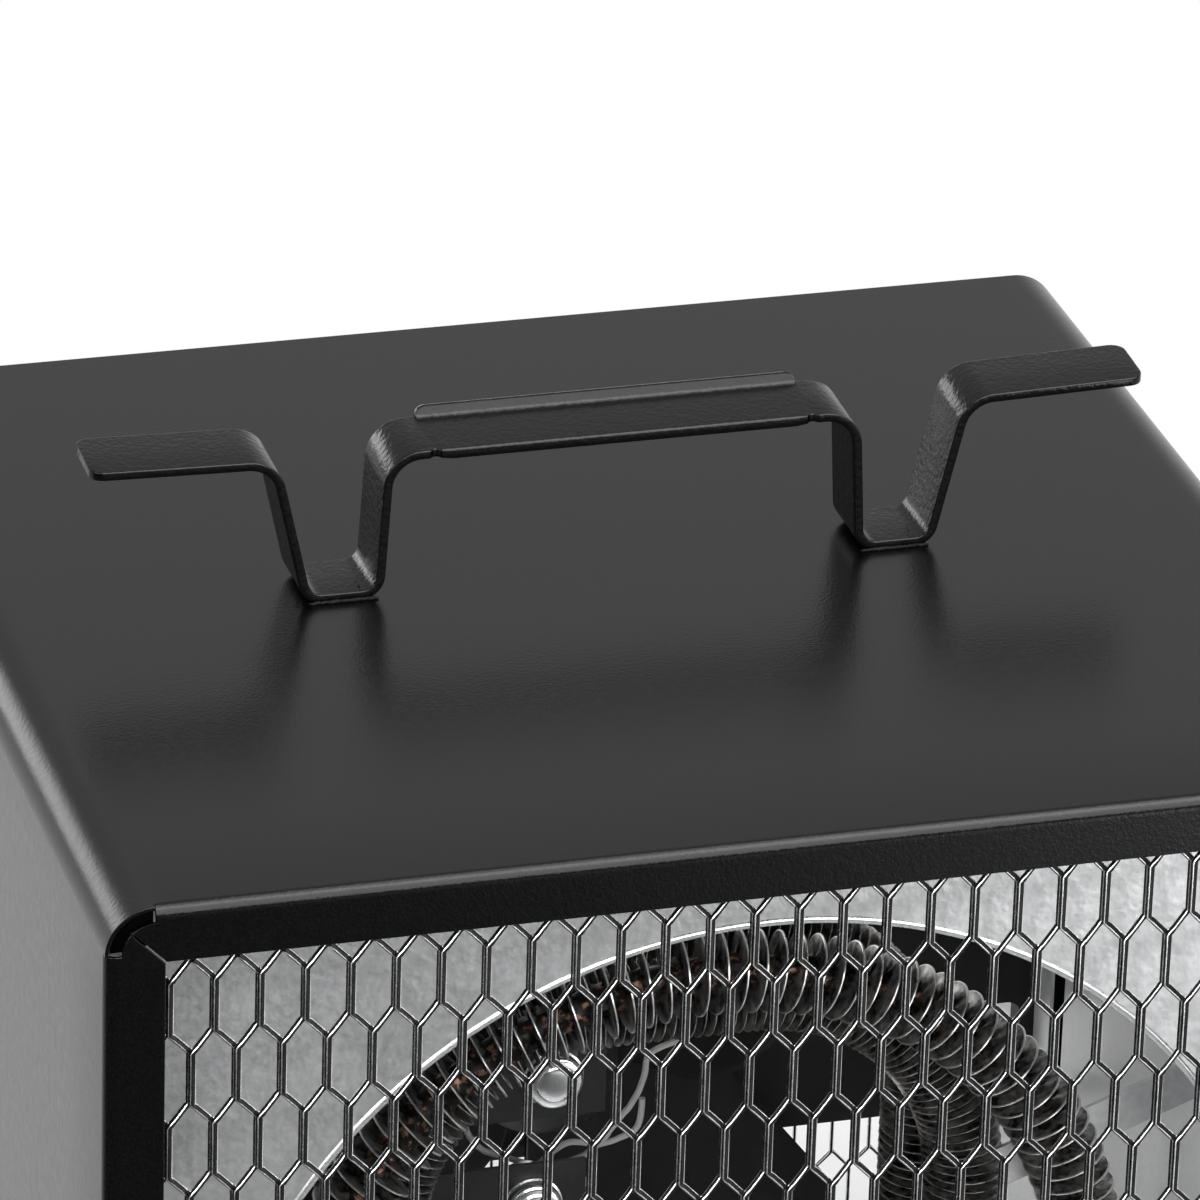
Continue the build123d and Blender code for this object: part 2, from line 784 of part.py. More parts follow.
def cutout_leads():
    """Short leads between the tabs, one bowed to the right and one slung under the upper disc."""
    y = cutout_y + cutout_plate_thickness + cutout_base_depth + tab_length / 2
    (upper_x, upper_z), (lower_x, lower_z) = cutout_places()
    off = (tab_spread + tab_thickness + lead_side) / 2
    bow_x = upper_x + lead_bow
    foot_x = lower_x + off + lead_bend
    sling_z = upper_z - lead_drop - lead_bend
    share = (lead_drop + lead_bend) / (upper_z - lower_z)
    sling_x = upper_x - off - lead_sling
    right = [
        (upper_x + off, upper_z),
        (bow_x, upper_z),
        (bow_x, upper_z - lead_drop),
        (foot_x, lower_z),
        (lower_x + off, lower_z),
    ]
    left = [
        (upper_x - off, upper_z),
        (sling_x, upper_z),
        (sling_x, sling_z),
        (upper_x, sling_z - lead_bend),
        (bow_x + (foot_x - bow_x) * (1 - share), sling_z - lead_bend),
    ]
    leads = []
    for points in (right, left):
        path = FilletPolyline(*[(px, y, pz) for px, pz in points], radius=lead_bend_radius).wire()
        start = Plane(origin=path @ 0, z_dir=path % 0)
        leads.append(sweep(start * RegularPolygon(lead_side / 2, 6), path=path))
    return leads[0] + leads[1]


def fan_blade():
    """A cambered strip, pitched so that its upper edge lies to the rear, cut to a petal outline."""
    slope = radians(blade_pitch)
    half = Vector(sin(slope), cos(slope), 0) * (blade_belly_width / 2 / cos(slope))
    out = Vector(cos(slope), -sin(slope), 0)
    skin = out * blade_thickness
    front = ThreePointArc(-half, out * blade_camber, half)
    back = ThreePointArc(-half + skin, out * blade_camber + skin, half + skin)
    section = make_face([front, Line(front @ 1, back @ 1), back, Line(back @ 0, front @ 0)])
    strip = extrude(Plane.YZ.offset(blade_root_radius) * section, amount=fan_radius)
    right = [
        (blade_root_radius, blade_root_width / 2),
        (blade_shoulder_radius, blade_shoulder_width / 2),
        (blade_belly_radius, blade_belly_width / 2),
        (fan_radius, blade_tip_width / 2),
    ]
    outline = make_face(Polyline(*right, *[(x, -z) for x, z in reversed(right)], close=True))
    corners = outline.vertices().group_by(Axis.X)
    outline = fillet([*corners[1], *corners[-1]], blade_rounding)
    return strip & xz_slab(outline & Circle(fan_radius), -blade_belly_width, blade_belly_width)


def fan_rotor():
    blade = fan_blade()
    rotor = xz_slab(Circle(hub_radius), -hub_length / 2, hub_length / 2)
    rotor += [Rot(0, -fan_rest_angle - 360 * i / blade_count, 0) * blade for i in range(blade_count)]
    rotor -= xz_slab(Circle(shaft_radius + shaft_clearance), -hub_length, hub_length)
    return Pos(0, fan_y, axis_z) * rotor


def motor_shaft():
    y0 = fan_y - hub_length / 2 - shaft_nose
    return rod(shaft_radius, 0, axis_z, y0, boss_front + shaft_depth)


def motor_screw_places():
    step = motor_screw_circle * sin(radians(45))
    return [(sx * step, axis_z + sz * step) for sx in (-1, 1) for sz in (-1, 1)]


def motor_body():
    can_front = plate_back + motor_bell_length
    can_back = can_front + motor_can_length
    motor = rod(motor_boss_radius, 0, axis_z, boss_front, plate_back)
    motor += rod(motor_bell_radius, 0, axis_z, plate_back, can_back + motor_bell_length)
    motor += rod(motor_radius, 0, axis_z, can_front, can_back)
    motor -= rod(shaft_radius + shaft_clearance, 0, axis_z, boss_front - 1, boss_front + shaft_depth)
    for x, z in motor_screw_places():
        motor -= rod(motor_screw_radius + screw_clearance, x, z, plate_back, plate_back + motor_screw_depth)
    return motor


def motor_screws():
    screws = []
    for x, z in motor_screw_places():
        head = hex_rod(screw_across, x, z, plate_front - motor_screw_head, plate_front)
        screws.append(head + rod(motor_screw_radius, x, z, plate_front, plate_back + motor_screw_depth))
    return Compound(children=screws)


def motor_plate():
    low = axis_z - motor_plate_height / 2
    high = axis_z + motor_plate_height / 2
    plate = box(-liner_x, liner_x, plate_front, plate_back, low, high)
    for side in (-1, 1):
        x0, x1 = sorted((side * liner_x, side * (liner_x - motor_plate_thickness)))
        plate += box(x0, x1, plate_front, plate_front + motor_plate_flange, low, high)
    plate -= rod(motor_boss_radius + screw_clearance, 0, axis_z, plate_front - 1, plate_back + 1)
    for x, z in motor_screw_places():
        plate -= rod(motor_screw_radius + screw_clearance, x, z, plate_front - 1, plate_back + 1)
    return plate


def control_housing(x):
    """A switch or thermostat behind the fascia, with its bush through the fascia."""
    half = control_body / 2
    y1 = control_front + control_depth
    housing = box(x - half, x + half, control_front, y1, control_z - half, control_z + half)
    housing += rod(bush_radius, x, control_z, control_front - bush_length, control_front)
    bore = spindle_radius + spindle_clearance
    end = control_front + spindle_inside
    return housing - rod(bore, x, control_z, control_front - bush_length - 1, end)


def control_spindle(x):
    start = front_y - knob_clearance - knob_height + knob_cap
    return rod(spindle_radius, x, control_z, start, control_front + spindle_inside)


def control_knob(x):
    """A skirted knob with two flats, a pointer groove and a hollow back over the nut."""
    y1 = front_y - knob_clearance
    y0 = y1 - knob_height
    grip = Circle(knob_grip_radius) & Rectangle(2 * knob_grip_flat, 2 * knob_grip_radius)
    knob = xz_slab(Pos(x, control_z) * grip, y0, y1)
    knob += rod(knob_radius, x, control_z, y1 - knob_skirt, y1)
    knob -= rod(knob_cavity_radius, x, control_z, y1 - knob_cavity_depth, y1 + 1)
    knob -= rod(spindle_radius + spindle_clearance, x, control_z, y0 + knob_cap, y1)
    half = pointer_width / 2
    return knob - box(x - half, x + half, y0 - 1, y0 + pointer_depth, control_z, control_z + knob_grip_radius)


def control_nuts():
    nuts = []
    for x in (thermostat_x, selector_x):
        nut = hex_rod(nut_across, x, control_z, front_y - nut_thickness, front_y)
        bore = rod(bush_radius + bush_clearance, x, control_z, front_y - nut_thickness - 1, front_y + 1)
        nuts.append(nut - bore)
    return Compound(children=nuts)


def pilot_lamp():
    lamp = rod(lamp_rim_radius, lamp_x, control_z, front_y - lamp_rim, front_y)
    return lamp + rod(lamp_radius, lamp_x, control_z, front_y, front_y + lamp_body_length)


def cord_gland():
    hex_end = back_outer + gland_out - gland_cap_length
    gland = hex_rod(gland_hex_across, gland_x, gland_z, back_outer, hex_end)
    gland += rod(gland_cap_radius, gland_x, gland_z, hex_end, back_outer + gland_out)
    thread_y = back_inner - gland_in
    gland += rod(gland_thread_radius, gland_x, gland_z, thread_y, back_outer)
    return gland - rod(gland_bore_radius, gland_x, gland_z, thread_y - 1, back_outer + gland_out + 1)


def gland_locknut():
    y1 = pan_rear - sheet
    y0 = y1 - gland_nut_thickness
    nut = hex_rod(gland_hex_across, gland_x, gland_z, y0, y1)
    return nut - rod(gland_thread_radius + gland_clearance, gland_x, gland_z, y0 - 1, y1 + 1)


def terminal_block():
    y1 = back_inner - block_rear_gap
    y0 = y1 - block_depth
    x0 = gland_x - block_length
    high = floor_top + block_height
    block = box(x0, gland_x, y0, y1, floor_top, high)
    pole = block_length / block_poles
    half = (pole - block_groove) / 2
    for i in range(block_poles):
        x = x0 + (i + 0.5) * pole
        block -= box(x - half, x + half, y0 - 1, y0 + block_depth / 2, floor_top + block_groove, high + 1)
    return block


nodes = {
    "casing_wrap": casing_wrap(),
    "carry_handle": carry_handle(),
    "front_grille": front_grille(),
    "rear_grille": rear_grille(),
    "back_panel": back_panel(),
    "guard_screws": guard_screws(),
    "control_fascia": control_fascia(),
    "base_pan": base_pan(),
    "side_screws": side_screws(),
    "foot_screws": foot_screws(),
    "baffle_plate": baffle_plate(),
    "chamber_floor": chamber_floor(),
    "chamber_liner_left": side_liner(-1),
    "chamber_liner_right": side_liner(1),
    "chamber_liner_top": top_liner(),
    "element_ring": element_ring(),
    "element_loop_front": element_loop(loop_front_setback),
    "element_loop_rear": element_loop(loop_rear_setback),
    "element_terminals": element_terminals(),
    "element_support_left": element_support(-1),
    "element_support_right": element_support(1),
    "cutout_bracket": cutout_bracket(),
    "cutout_disc_upper": cutout_disc(*cutout_places()[0]),
    "cutout_disc_lower": cutout_disc(*cutout_places()[1]),
    "cutout_leads": cutout_leads(),
    "fan_rotor": fan_rotor(),
    "motor_shaft": motor_shaft(),
    "motor_body": motor_body(),
    "motor_plate": motor_plate(),
    "motor_screws": motor_screws(),
    "thermostat_body": control_housing(thermostat_x),
    "thermostat_spindle": control_spindle(thermostat_x),
    "thermostat_knob": control_knob(thermostat_x),
    "selector_body": control_housing(selector_x),
    "selector_spindle": control_spindle(selector_x),
    "selector_knob": control_knob(selector_x),
    "control_nuts": control_nuts(),
    "pilot_lamp": pilot_lamp(),
    "cord_gland": cord_gland(),
    "gland_locknut": gland_locknut(),
    "terminal_block": terminal_block(),
}
for number, (foot_x, foot_y) in enumerate(foot_places(), 1):
    nodes[f"rubber_foot_{number}"] = rubber_foot(foot_x, foot_y)

os.makedirs("parts", exist_ok=True)
for name, shape in nodes.items():
    export_step(shape, f"parts/{name}.step")
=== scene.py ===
import json
import math
import random

import bmesh
import bpy
from mathutils import Matrix, Vector
from mathutils import noise as ripple


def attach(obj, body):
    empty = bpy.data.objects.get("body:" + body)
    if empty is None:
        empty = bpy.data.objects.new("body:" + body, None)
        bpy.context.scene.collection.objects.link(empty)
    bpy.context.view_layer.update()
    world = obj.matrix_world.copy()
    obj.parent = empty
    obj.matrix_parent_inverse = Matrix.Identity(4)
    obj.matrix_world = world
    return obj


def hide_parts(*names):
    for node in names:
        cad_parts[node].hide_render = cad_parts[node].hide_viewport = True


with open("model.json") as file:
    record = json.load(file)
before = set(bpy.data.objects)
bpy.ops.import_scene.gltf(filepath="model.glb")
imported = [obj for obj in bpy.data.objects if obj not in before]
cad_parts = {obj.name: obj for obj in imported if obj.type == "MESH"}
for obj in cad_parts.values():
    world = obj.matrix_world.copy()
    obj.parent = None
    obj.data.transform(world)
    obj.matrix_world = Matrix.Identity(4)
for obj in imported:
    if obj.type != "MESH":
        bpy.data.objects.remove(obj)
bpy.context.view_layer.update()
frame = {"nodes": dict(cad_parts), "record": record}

nodes = frame["nodes"]
scene = bpy.context.scene
mm = 0.001
print("frame loaded:", len(nodes), "nodes")


# where the photo was taken from: anchorPoint (mm) shows at anchorPixel, distance is along the view
shot = {
    "azimuth": -16.6813,
    "elevation": 25.7368,
    "roll": 1.8279,
    "focalPixels": 9105.494,
    "imagePixels": 1200,
    "anchorPixel": (795.032, 840.855),
    "anchorPoint": (0.0, -149.5, 370.0),
    "distance": 2144.6,
}


def placeCamera(view):
    a, e, roll = (math.radians(view[k]) for k in ("azimuth", "elevation", "roll"))
    back = Vector((math.sin(a) * math.cos(e), -math.cos(a) * math.cos(e), math.sin(e)))
    level = Vector((math.cos(a), math.sin(a), 0))
    upright = back.cross(level)
    right = math.cos(roll) * level + math.sin(roll) * upright
    up = math.cos(roll) * upright - math.sin(roll) * level
    scale = view["distance"] / view["focalPixels"]
    half = view["imagePixels"] / 2
    across = (view["anchorPixel"][0] - half) * scale
    down = (view["anchorPixel"][1] - half) * scale
    place = Vector(view["anchorPoint"]) - right * across + up * down + back * view["distance"]
    lens = bpy.data.cameras.new("shotCamera")
    lens.sensor_width = 36
    lens.sensor_fit = "HORIZONTAL"
    lens.lens = view["focalPixels"] * lens.sensor_width / view["imagePixels"]
    lens.clip_start = 0.05
    lens.clip_end = 60
    eye = bpy.data.objects.new("shotCamera", lens)
    turn = Matrix((right, up, back)).transposed().to_4x4()
    eye.matrix_world = Matrix.Translation(place * mm) @ turn
    scene.collection.objects.link(eye)
    scene.camera = eye


placeCamera(shot)
scene.view_settings.view_transform = "Standard"
print("camera placed")


# shading helpers: most return the socket that the next one takes
def addNode(tree, kind, wires=None, **settings):
    node = tree.nodes.new(kind)
    for key, value in settings.items():
        setattr(node, key, value)
    for key, value in (wires or {}).items():
        if isinstance(value, bpy.types.NodeSocket):
            tree.links.new(value, node.inputs[key])
        else:
            node.inputs[key].default_value = value
    return node


def startFinish(name, values):
    material = bpy.data.materials.new(name)
    material.use_nodes = True
    tree = material.node_tree
    for key, value in values.items():
        tree.nodes["Principled BSDF"].inputs[key].default_value = value
    place = addNode(tree, "ShaderNodeTexCoord").outputs["Object"]
    return material, tree, place


def endFinish(material, color, rough, normal):
    tree = material.node_tree
    sockets = tree.nodes["Principled BSDF"].inputs
    for key, value in (("Base Color", color), ("Roughness", rough), ("Normal", normal)):
        tree.links.new(value, sockets[key])
    return material


def stretched(tree, place, scale):
    return addNode(tree, "ShaderNodeMapping", {"Vector": place, "Scale": scale}).outputs["Vector"]


def noise(tree, place, scale, detail=2.0, rough=0.5):
    wires = {"Vector": place, "Scale": scale, "Detail": detail, "Roughness": rough}
    return addNode(tree, "ShaderNodeTexNoise", wires).outputs["Fac"]


def spread(tree, value, low, high, start=0.3, end=0.7):
    wires = {"Value": value, "From Min": start, "From Max": end, "To Min": low, "To Max": high}
    return addNode(tree, "ShaderNodeMapRange", wires).outputs["Result"]


def tint(tree, value, dark, light, start=0.3, end=0.7):
    node = addNode(tree, "ShaderNodeValToRGB", {"Fac": value})
    node.color_ramp.elements[0].position = start
    node.color_ramp.elements[1].position = end
    node.color_ramp.elements[0].color = (*dark, 1)
    node.color_ramp.elements[1].color = (*light, 1)
    return node.outputs["Color"]


def dents(tree, height, depth, under=None):
    wires = {"Height": height, "Distance": depth * mm, "Strength": 1.0}
    if under:
        wires["Normal"] = under
    return addNode(tree, "ShaderNodeBump", wires).outputs["Normal"]


def part(tree, place, axis):
    return addNode(tree, "ShaderNodeSeparateXYZ", {"Vector": place}).outputs[axis]


def sums(tree, operation, first, second):
    return addNode(tree, "ShaderNodeMath", {0: first, 1: second}, operation=operation).outputs["Value"]


def rayKinds(tree):
    rays = addNode(tree, "ShaderNodeLightPath").outputs
    return rays["Is Camera Ray"], sums(tree, "MAXIMUM", rays["Is Glossy Ray"], rays["Is Transmission Ray"])


def blended(tree, first, second, share):
    return sums(tree, "ADD", sums(tree, "MULTIPLY", first, share), sums(tree, "MULTIPLY", second, 1 - share))


def grey(level):
    return (level, level, level)


# texture scales are per metre, depths in mm
sheetCoat = {
    "speckle": 1700,
    "gloss": 300,
    "peel": 1100,
    "grain": 2200,
    "peelDepth": 0.05,
    "grainDepth": 0.015,
    "rough": (0.2, 0.24),
}
strapCoat = {
    **sheetCoat, "speckle": 900, "peel": 700, "grain": 1900, "peelDepth": 0.15, "rough": (0.17, 0.22),
}
enamelLook = {"cloud": 240, "gloss": 500, "grain": 900, "grainDetail": 1.0, "depth": 0.03}
plasticLook = {"cloud": 90, "gloss": 420, "grain": 1600, "grainDetail": 2.0, "depth": 0.02}
zincLook = {
    "mottle": 520,
    "cloud": 40,
    "mottleShare": 0.6,
    "peel": 420,
    "peelDepth": 0.1,
    "grain": 1100,
    "grainDepth": 0.025,
}
firedLook = {"heat": 45, "heatShare": 0.7, "speck": 700, "edges": (0.3, 0.7), "depth": 0.03}
metalLook = {"cloud": 130, "lines": 1500, "stretch": (1, 1, 1), "depth": 0.01}
sleeveLook = {"braid": 900, "wobble": 0.4, "sheen": 0.3, "rough": (0.85, 0.6), "depth": 0.12}


def powderCoatFinish(name, dark, light, look):
    material, tree, place = startFinish(name, {"Specular IOR Level": 0.2})
    color = tint(tree, noise(tree, place, look["speckle"], 2, 0.6), dark, light)
    rough = spread(tree, noise(tree, place, look["gloss"], 3), *look["rough"])
    peel = dents(tree, noise(tree, place, look["peel"], 1.5), look["peelDepth"])
    grain = dents(tree, noise(tree, place, look["grain"], 1), look["grainDepth"], under=peel)
    return endFinish(material, color, rough, grain)


def smoothFinish(name, dark, light, rough, look, values=None):
    material, tree, place = startFinish(name, values or {})
    color = tint(tree, noise(tree, place, look["cloud"], 3), dark, light)
    gloss = spread(tree, noise(tree, place, look["gloss"], 2), *rough)
    grain = dents(tree, noise(tree, place, look["grain"], look["grainDetail"]), look["depth"])
    return endFinish(material, color, gloss, grain)


def galvanisedFinish(name, metallic, dark, light, rough):
    look = zincLook
    material, tree, place = startFinish(name, {"Metallic": metallic})
    mottle = noise(tree, place, look["mottle"], 3, 0.6)
    both = blended(tree, mottle, noise(tree, place, look["cloud"], 2), look["mottleShare"])
    peel = dents(tree, noise(tree, place, look["peel"], 1), look["peelDepth"])
    grain = dents(tree, noise(tree, place, look["grain"], 2), look["grainDepth"], under=peel)
    return endFinish(material, tint(tree, both, dark, light), spread(tree, both, *rough), grain)


def firedSteelFinish(name, dark, light, rough, metallic, **changes):
    look = {**firedLook, **changes}
    material, tree, place = startFinish(name, {"Metallic": metallic})
    speck = noise(tree, place, look["speck"], 2)
    both = blended(tree, noise(tree, place, look["heat"], 3, 0.6), speck, look["heatShare"])
    color = tint(tree, both, dark, light, *look["edges"])
    return endFinish(material, color, spread(tree, speck, *rough), dents(tree, both, look["depth"]))


def metalFinish(name, dark, light, rough, **changes):
    look = {**metalLook, **changes}
    material, tree, place = startFinish(name, {"Metallic": 1.0})
    color = tint(tree, noise(tree, place, look["cloud"], 3), dark, light)
    lines = noise(tree, stretched(tree, place, look["stretch"]), look["lines"], 2)
    return endFinish(material, color, spread(tree, lines, *rough), dents(tree, lines, look["depth"]))


def sleeveFinish(name, dark, light, look):
    material, tree, place = startFinish(name, {"Sheen Weight": look["sheen"]})
    waves = []
    for across in (1, -1):
        flow = stretched(tree, place, (across, 1, 1))
        wires = {"Vector": flow, "Scale": look["braid"], "Distortion": look["wobble"]}
        waves.append(addNode(tree, "ShaderNodeTexWave", wires, bands_direction="DIAGONAL").outputs["Fac"])
    braid = sums(tree, "MAXIMUM", *waves)
    rough = spread(tree, braid, *look["rough"])
    return endFinish(material, tint(tree, braid, dark, light), rough, dents(tree, braid, look["depth"]))


coatDark, coatLight = grey(0.0002), (0.0024, 0.0024, 0.0026)
lensLook = {**plasticLook, "grain": 500, "depth": 0.01}
rubberLook = {**plasticLook, "grain": 900, "depth": 0.05}
finishes = {
    "casing_black": powderCoatFinish("powderCoatBlack", coatDark, coatLight, sheetCoat),
    "grille_black": smoothFinish(
        "grilleEnamel", (0.003, 0.003, 0.0032), (0.005, 0.005, 0.0052), (0.22, 0.32), enamelLook,
        {"Specular IOR Level": 0.16},
    ),
    "galvanised": galvanisedFinish("galvanisedSheet", 0.92, (0.5, 0.505, 0.51), (0.66, 0.665, 0.67), (0.34, 0.44)),
    "element_steel": firedSteelFinish(
        "firedSteel", (0.03, 0.029, 0.028), (0.48, 0.47, 0.46), (0.28, 0.46), 0.9,
        heat=170, edges=(0.4, 0.64), depth=0.2,
    ),
    "cutout_metal": metalFinish("drawnCap", (0.66, 0.67, 0.68), (0.8, 0.805, 0.81), (0.14, 0.22), depth=0.003),
    "lead_sleeve": sleeveFinish("braidedSleeve", grey(0.09), (0.3, 0.3, 0.295), sleeveLook),
    # near-black blades: partly dark paint, partly painted shade for the dark interior
    "fan_metal": firedSteelFinish("fanPaintAndShade", (0.004, 0.004, 0.0042), (0.011, 0.0108, 0.0105), (0.34, 0.44), 0.3),
    "motor_black": powderCoatFinish("motorEnamel", (0.003, 0.003, 0.0032), (0.008, 0.008, 0.0083), strapCoat),
    "shaft_steel": metalFinish(
        "turnedSteel", (0.48, 0.49, 0.5), (0.6, 0.61, 0.62), (0.18, 0.34), stretch=(0.05, 1, 0.05),
    ),
    "screw_zinc": metalFinish("zincScrews", (0.5, 0.5, 0.48), (0.68, 0.68, 0.66), (0.24, 0.4)),
    "control_plastic": smoothFinish("mouldedPlastic", grey(0.02), grey(0.034), (0.45, 0.6), plasticLook),
    "knob_plastic": smoothFinish("knobPlastic", grey(0.012), grey(0.02), (0.4, 0.55), plasticLook),
    "lamp_lens": smoothFinish(
        "amberLens", (0.7, 0.12, 0.03), (0.8, 0.2, 0.05), (0.08, 0.14), lensLook, {"Transmission Weight": 0.35}
    ),
    "gland_plastic": smoothFinish("glandPlastic", grey(0.018), grey(0.028), (0.42, 0.55), plasticLook),
    "foot_rubber": smoothFinish("footRubber", grey(0.015), grey(0.026), (0.7, 0.85), rubberLook),
}
# painted highlight: bright metal on the corner faces of the black enamel grille strands, so each strand shows bright
# edge lines
strandCornerHighlight = smoothFinish("strandCornerHighlight", grey(0.7), grey(0.92), (0.22, 0.3), enamelLook, {"Metallic": 1.0})
# painted light: a whiter, more diffuse copy of the galvanised sheet for the chamber's liner walls, so they render
# bright
linerSheetLit = galvanisedFinish("linerSheetLit", 0.3, (0.86, 0.865, 0.87), (0.95, 0.955, 0.96), (0.3, 0.4))
# painted shade: the cut-out bracket is near black, far darker than its galvanised steel, for the shade deep inside
# the chamber
bracketInShade = firedSteelFinish("bracketInShade", (0.005, 0.005, 0.0052), (0.02, 0.02, 0.0206), (0.4, 0.5), 0.5)
rimSteel = metalFinish("rimSteel", (0.72, 0.725, 0.73), (0.84, 0.845, 0.85), (0.26, 0.34), depth=0.004)
# painted shade: the motor plate is near black, darker than its grey steel, for the shade inside the chamber
motorPlateInShade = firedSteelFinish("motorPlateInShade", (0.003, 0.003, 0.0031), (0.007, 0.007, 0.0072), (0.5, 0.6), 0.1)
# painted shade: near black with no gloss, for the tab behind the casing's mitres
shadeTabBlack = smoothFinish("shadeTabBlack", grey(0.0008), grey(0.0018), (0.7, 0.8), plasticLook, {"Specular IOR Level": 0})
weldBlack = smoothFinish("weldBlack", grey(0.001), grey(0.004), (0.5, 0.6), plasticLook, {"Specular IOR Level": 0.1})
strapBlack = powderCoatFinish("strapCoatBlack", coatDark, coatLight, strapCoat)
# the fins' rim faces: bare steel edges with a painted highlight on the front ring, and a darker copy for the loops
# behind it, painted shade
ringRimHighlight = firedSteelFinish("ringRimHighlight", (0.62, 0.61, 0.6), (0.86, 0.85, 0.84), (0.26, 0.38), 1.0, heat=190)
loopRimInShade = firedSteelFinish(
    "loopRimInShade", (0.06, 0.058, 0.056), (0.6, 0.58, 0.56), (0.34, 0.48), 1.0, heat=160, edges=(0.36, 0.62)
)
sheathSteel = firedSteelFinish(
    "sheathSteel", (0.012, 0.011, 0.0105), (0.3, 0.17, 0.12), (0.34, 0.5), 0.8,
    heat=420, edges=(0.54, 0.66), depth=0.2,
)
print("finishes made")

slotOf = {entry["node"]: entry["material_slot"] for entry in frame["record"]["subparts"]}
# the liner walls take the painted-light galvanised copy, the cut-out bracket the near-black painted-shade steel
special = {
    "chamber_liner_left": linerSheetLit,
    "chamber_liner_right": linerSheetLit,
    "chamber_liner_top": linerSheetLit,
    "cutout_bracket": bracketInShade,
}
for name, node in nodes.items():
    node.data.materials.clear()
    node.data.materials.append(special.get(name, finishes[slotOf[name]]))
print("finishes on the CAD nodes")


# a shape's points are in mm; marks number the finish of each face
def newShape():
    return {"points": [], "faces": [], "marks": []}


def spokes(sides):
    return [(math.cos(2 * math.pi * k / sides), math.sin(2 * math.pi * k / sides)) for k in range(sides)]


def quarter(steps):
    angles = [math.pi / 2 * i / steps for i in range(steps + 1)]
    return [(math.cos(a), math.sin(a)) for a in angles]


def roundedBox(x0, x1, z0, z1, r, steps):
    spots = []
    x0, x1, z0, z1 = x0 + r, x1 - r, z0 + r, z1 - r
    for x, z, first in ((x1, z1, 0), (x0, z1, 90), (x0, z0, 180), (x1, z0, 270)):
        for k in range(steps + 1):
            angle = math.radians(first + 90 * k / steps)
            spots.append((x + r * math.cos(angle), z + r * math.sin(angle)))
    return spots


def addLoft(shape, rings, closed=False, caps=True, mark=0, openSide=False, marks=None):
    size = len(rings[0])
    start = len(shape["points"])
    for ring in rings:
        shape["points"] += ring
    last = len(rings) if closed else len(rings) - 1
    for i in range(last):
        a, b = start + i * size, start + (i + 1) % len(rings) * size
        for k in range(size - 1 if openSide else size):
            m = (k + 1) % size
            shape["faces"].append((a + k, a + m, b + m, b + k))
            shape["marks"].append(marks[k] if marks else mark)
    if caps and not closed:
        shape["faces"].append(tuple(range(start + size - 1, start - 1, -1)))
        end = start + (len(rings) - 1) * size
        shape["faces"].append(tuple(range(end, end + size)))
        shape["marks"] += [mark, mark]


def addTurned(shape, profile, x, z, sides, closed=False):
    # (radius, y) points turned about a line along Y
    rings = [[(x + radius * c, y, z + radius * s) for c, s in spokes(sides)] for radius, y in profile]
    addLoft(shape, rings, closed=closed)


def turnOutward(mesh, join=0.0, outFrom=None):
    # join (mm) merges points that lie as close as that; an open sheet is turned away from outFrom
    work = bmesh.new()
    work.from_mesh(mesh)
    if join:
        bmesh.ops.remove_doubles(work, verts=work.verts, dist=join * mm)
    bmesh.ops.recalc_face_normals(work, faces=work.faces)
    if outFrom is not None:
        lean = sum(f.normal.dot(f.calc_center_median() - outFrom) * f.calc_area() for f in work.faces)
        if lean < 0:
            bmesh.ops.reverse_faces(work, faces=work.faces)
    work.to_mesh(mesh)
    work.free()


def placePiece(name, mesh, body, materials, stands=(), smooth=35):
    for material in materials:
        mesh.materials.append(material)
    mesh.polygons.foreach_set("use_smooth", [True] * len(mesh.polygons))
    mesh.set_sharp_from_angle(angle=math.radians(smooth))
    piece = bpy.data.objects.new(name, mesh)
    scene.collection.objects.link(piece)
    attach(piece, body)
    if stands:
        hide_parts(*stands)
    return piece


def makePiece(name, shape, body, materials, stands=(), smooth=35, outward=True):
    mesh = bpy.data.meshes.new(name)
    mesh.from_pydata([[c * mm for c in p] for p in shape["points"]], [], shape["faces"])
    if outward:
        turnOutward(mesh)
    piece = placePiece(name, mesh, body, materials, stands, smooth)
    mesh.polygons.foreach_set("material_index", shape["marks"])
    return piece


# expanded metal: upright strands that lean, joined side by side, each row half a pitch over
frontMesh = {
    "firstColumn": -150.75,
    "pitch": 10.955,
    "topBond": 350.8,
    "row": 19.12,
    "rowSlope": 0.0135,
    "bond": 13.4,
    "strandWide": 1.2,
    "bondThick": 1.55,
    "strandThick": 1.5,
    "rounding": 0.22,
    "lean": 16.0,
    "twist": -14.0,
    "twistBack": -22.0,
    "middle": -147.2,
    "faces": -1,
    "reach": 158.0,
    "low": 44.0,
    "high": 362.0,
    "rowsAbove": 3,
    # share of the way down a slanted strand, and how far it has twisted there
    "turns": [(0.1, 0.5), (0.25, 1.0), (0.75, 1.0), (0.9, 0.5)],
}
rearMesh = {
    **frontMesh,
    "strandWide": 0.95,
    "strandThick": 0.9,
    "bondThick": 1.0,
    "middle": 149.2,
    "faces": 1,
    "reach": 151.0,
    "low": 50.6,
    "high": 355.4,
}


def leaning(mesh):
    lean = math.radians(mesh["lean"])
    return Vector((math.sin(lean), mesh["faces"] * math.cos(lean), 0))


def strandRing(mesh, place, heading, turn):
    # turn 0 in a bond, 1 in the middle of a slanted strand
    wide = mesh["strandWide"] / 2
    thick = (mesh["bondThick"] + (mesh["strandThick"] - mesh["bondThick"]) * turn) / 2
    along = leaning(mesh)
    along = (along - along.dot(heading) * heading).normalized()
    across = along.cross(heading) * (1 if heading.z < 0 else -1) * -mesh["faces"]
    slant = mesh["twist"] if heading.x > 0 else mesh["twistBack"]
    spin = Matrix.Rotation(math.radians(slant * turn), 3, heading)
    spots = roundedBox(-wide, wide, -thick, thick, mesh["rounding"], 2)
    return [tuple(place + spin @ (along * p + across * n)) for p, n in spots]


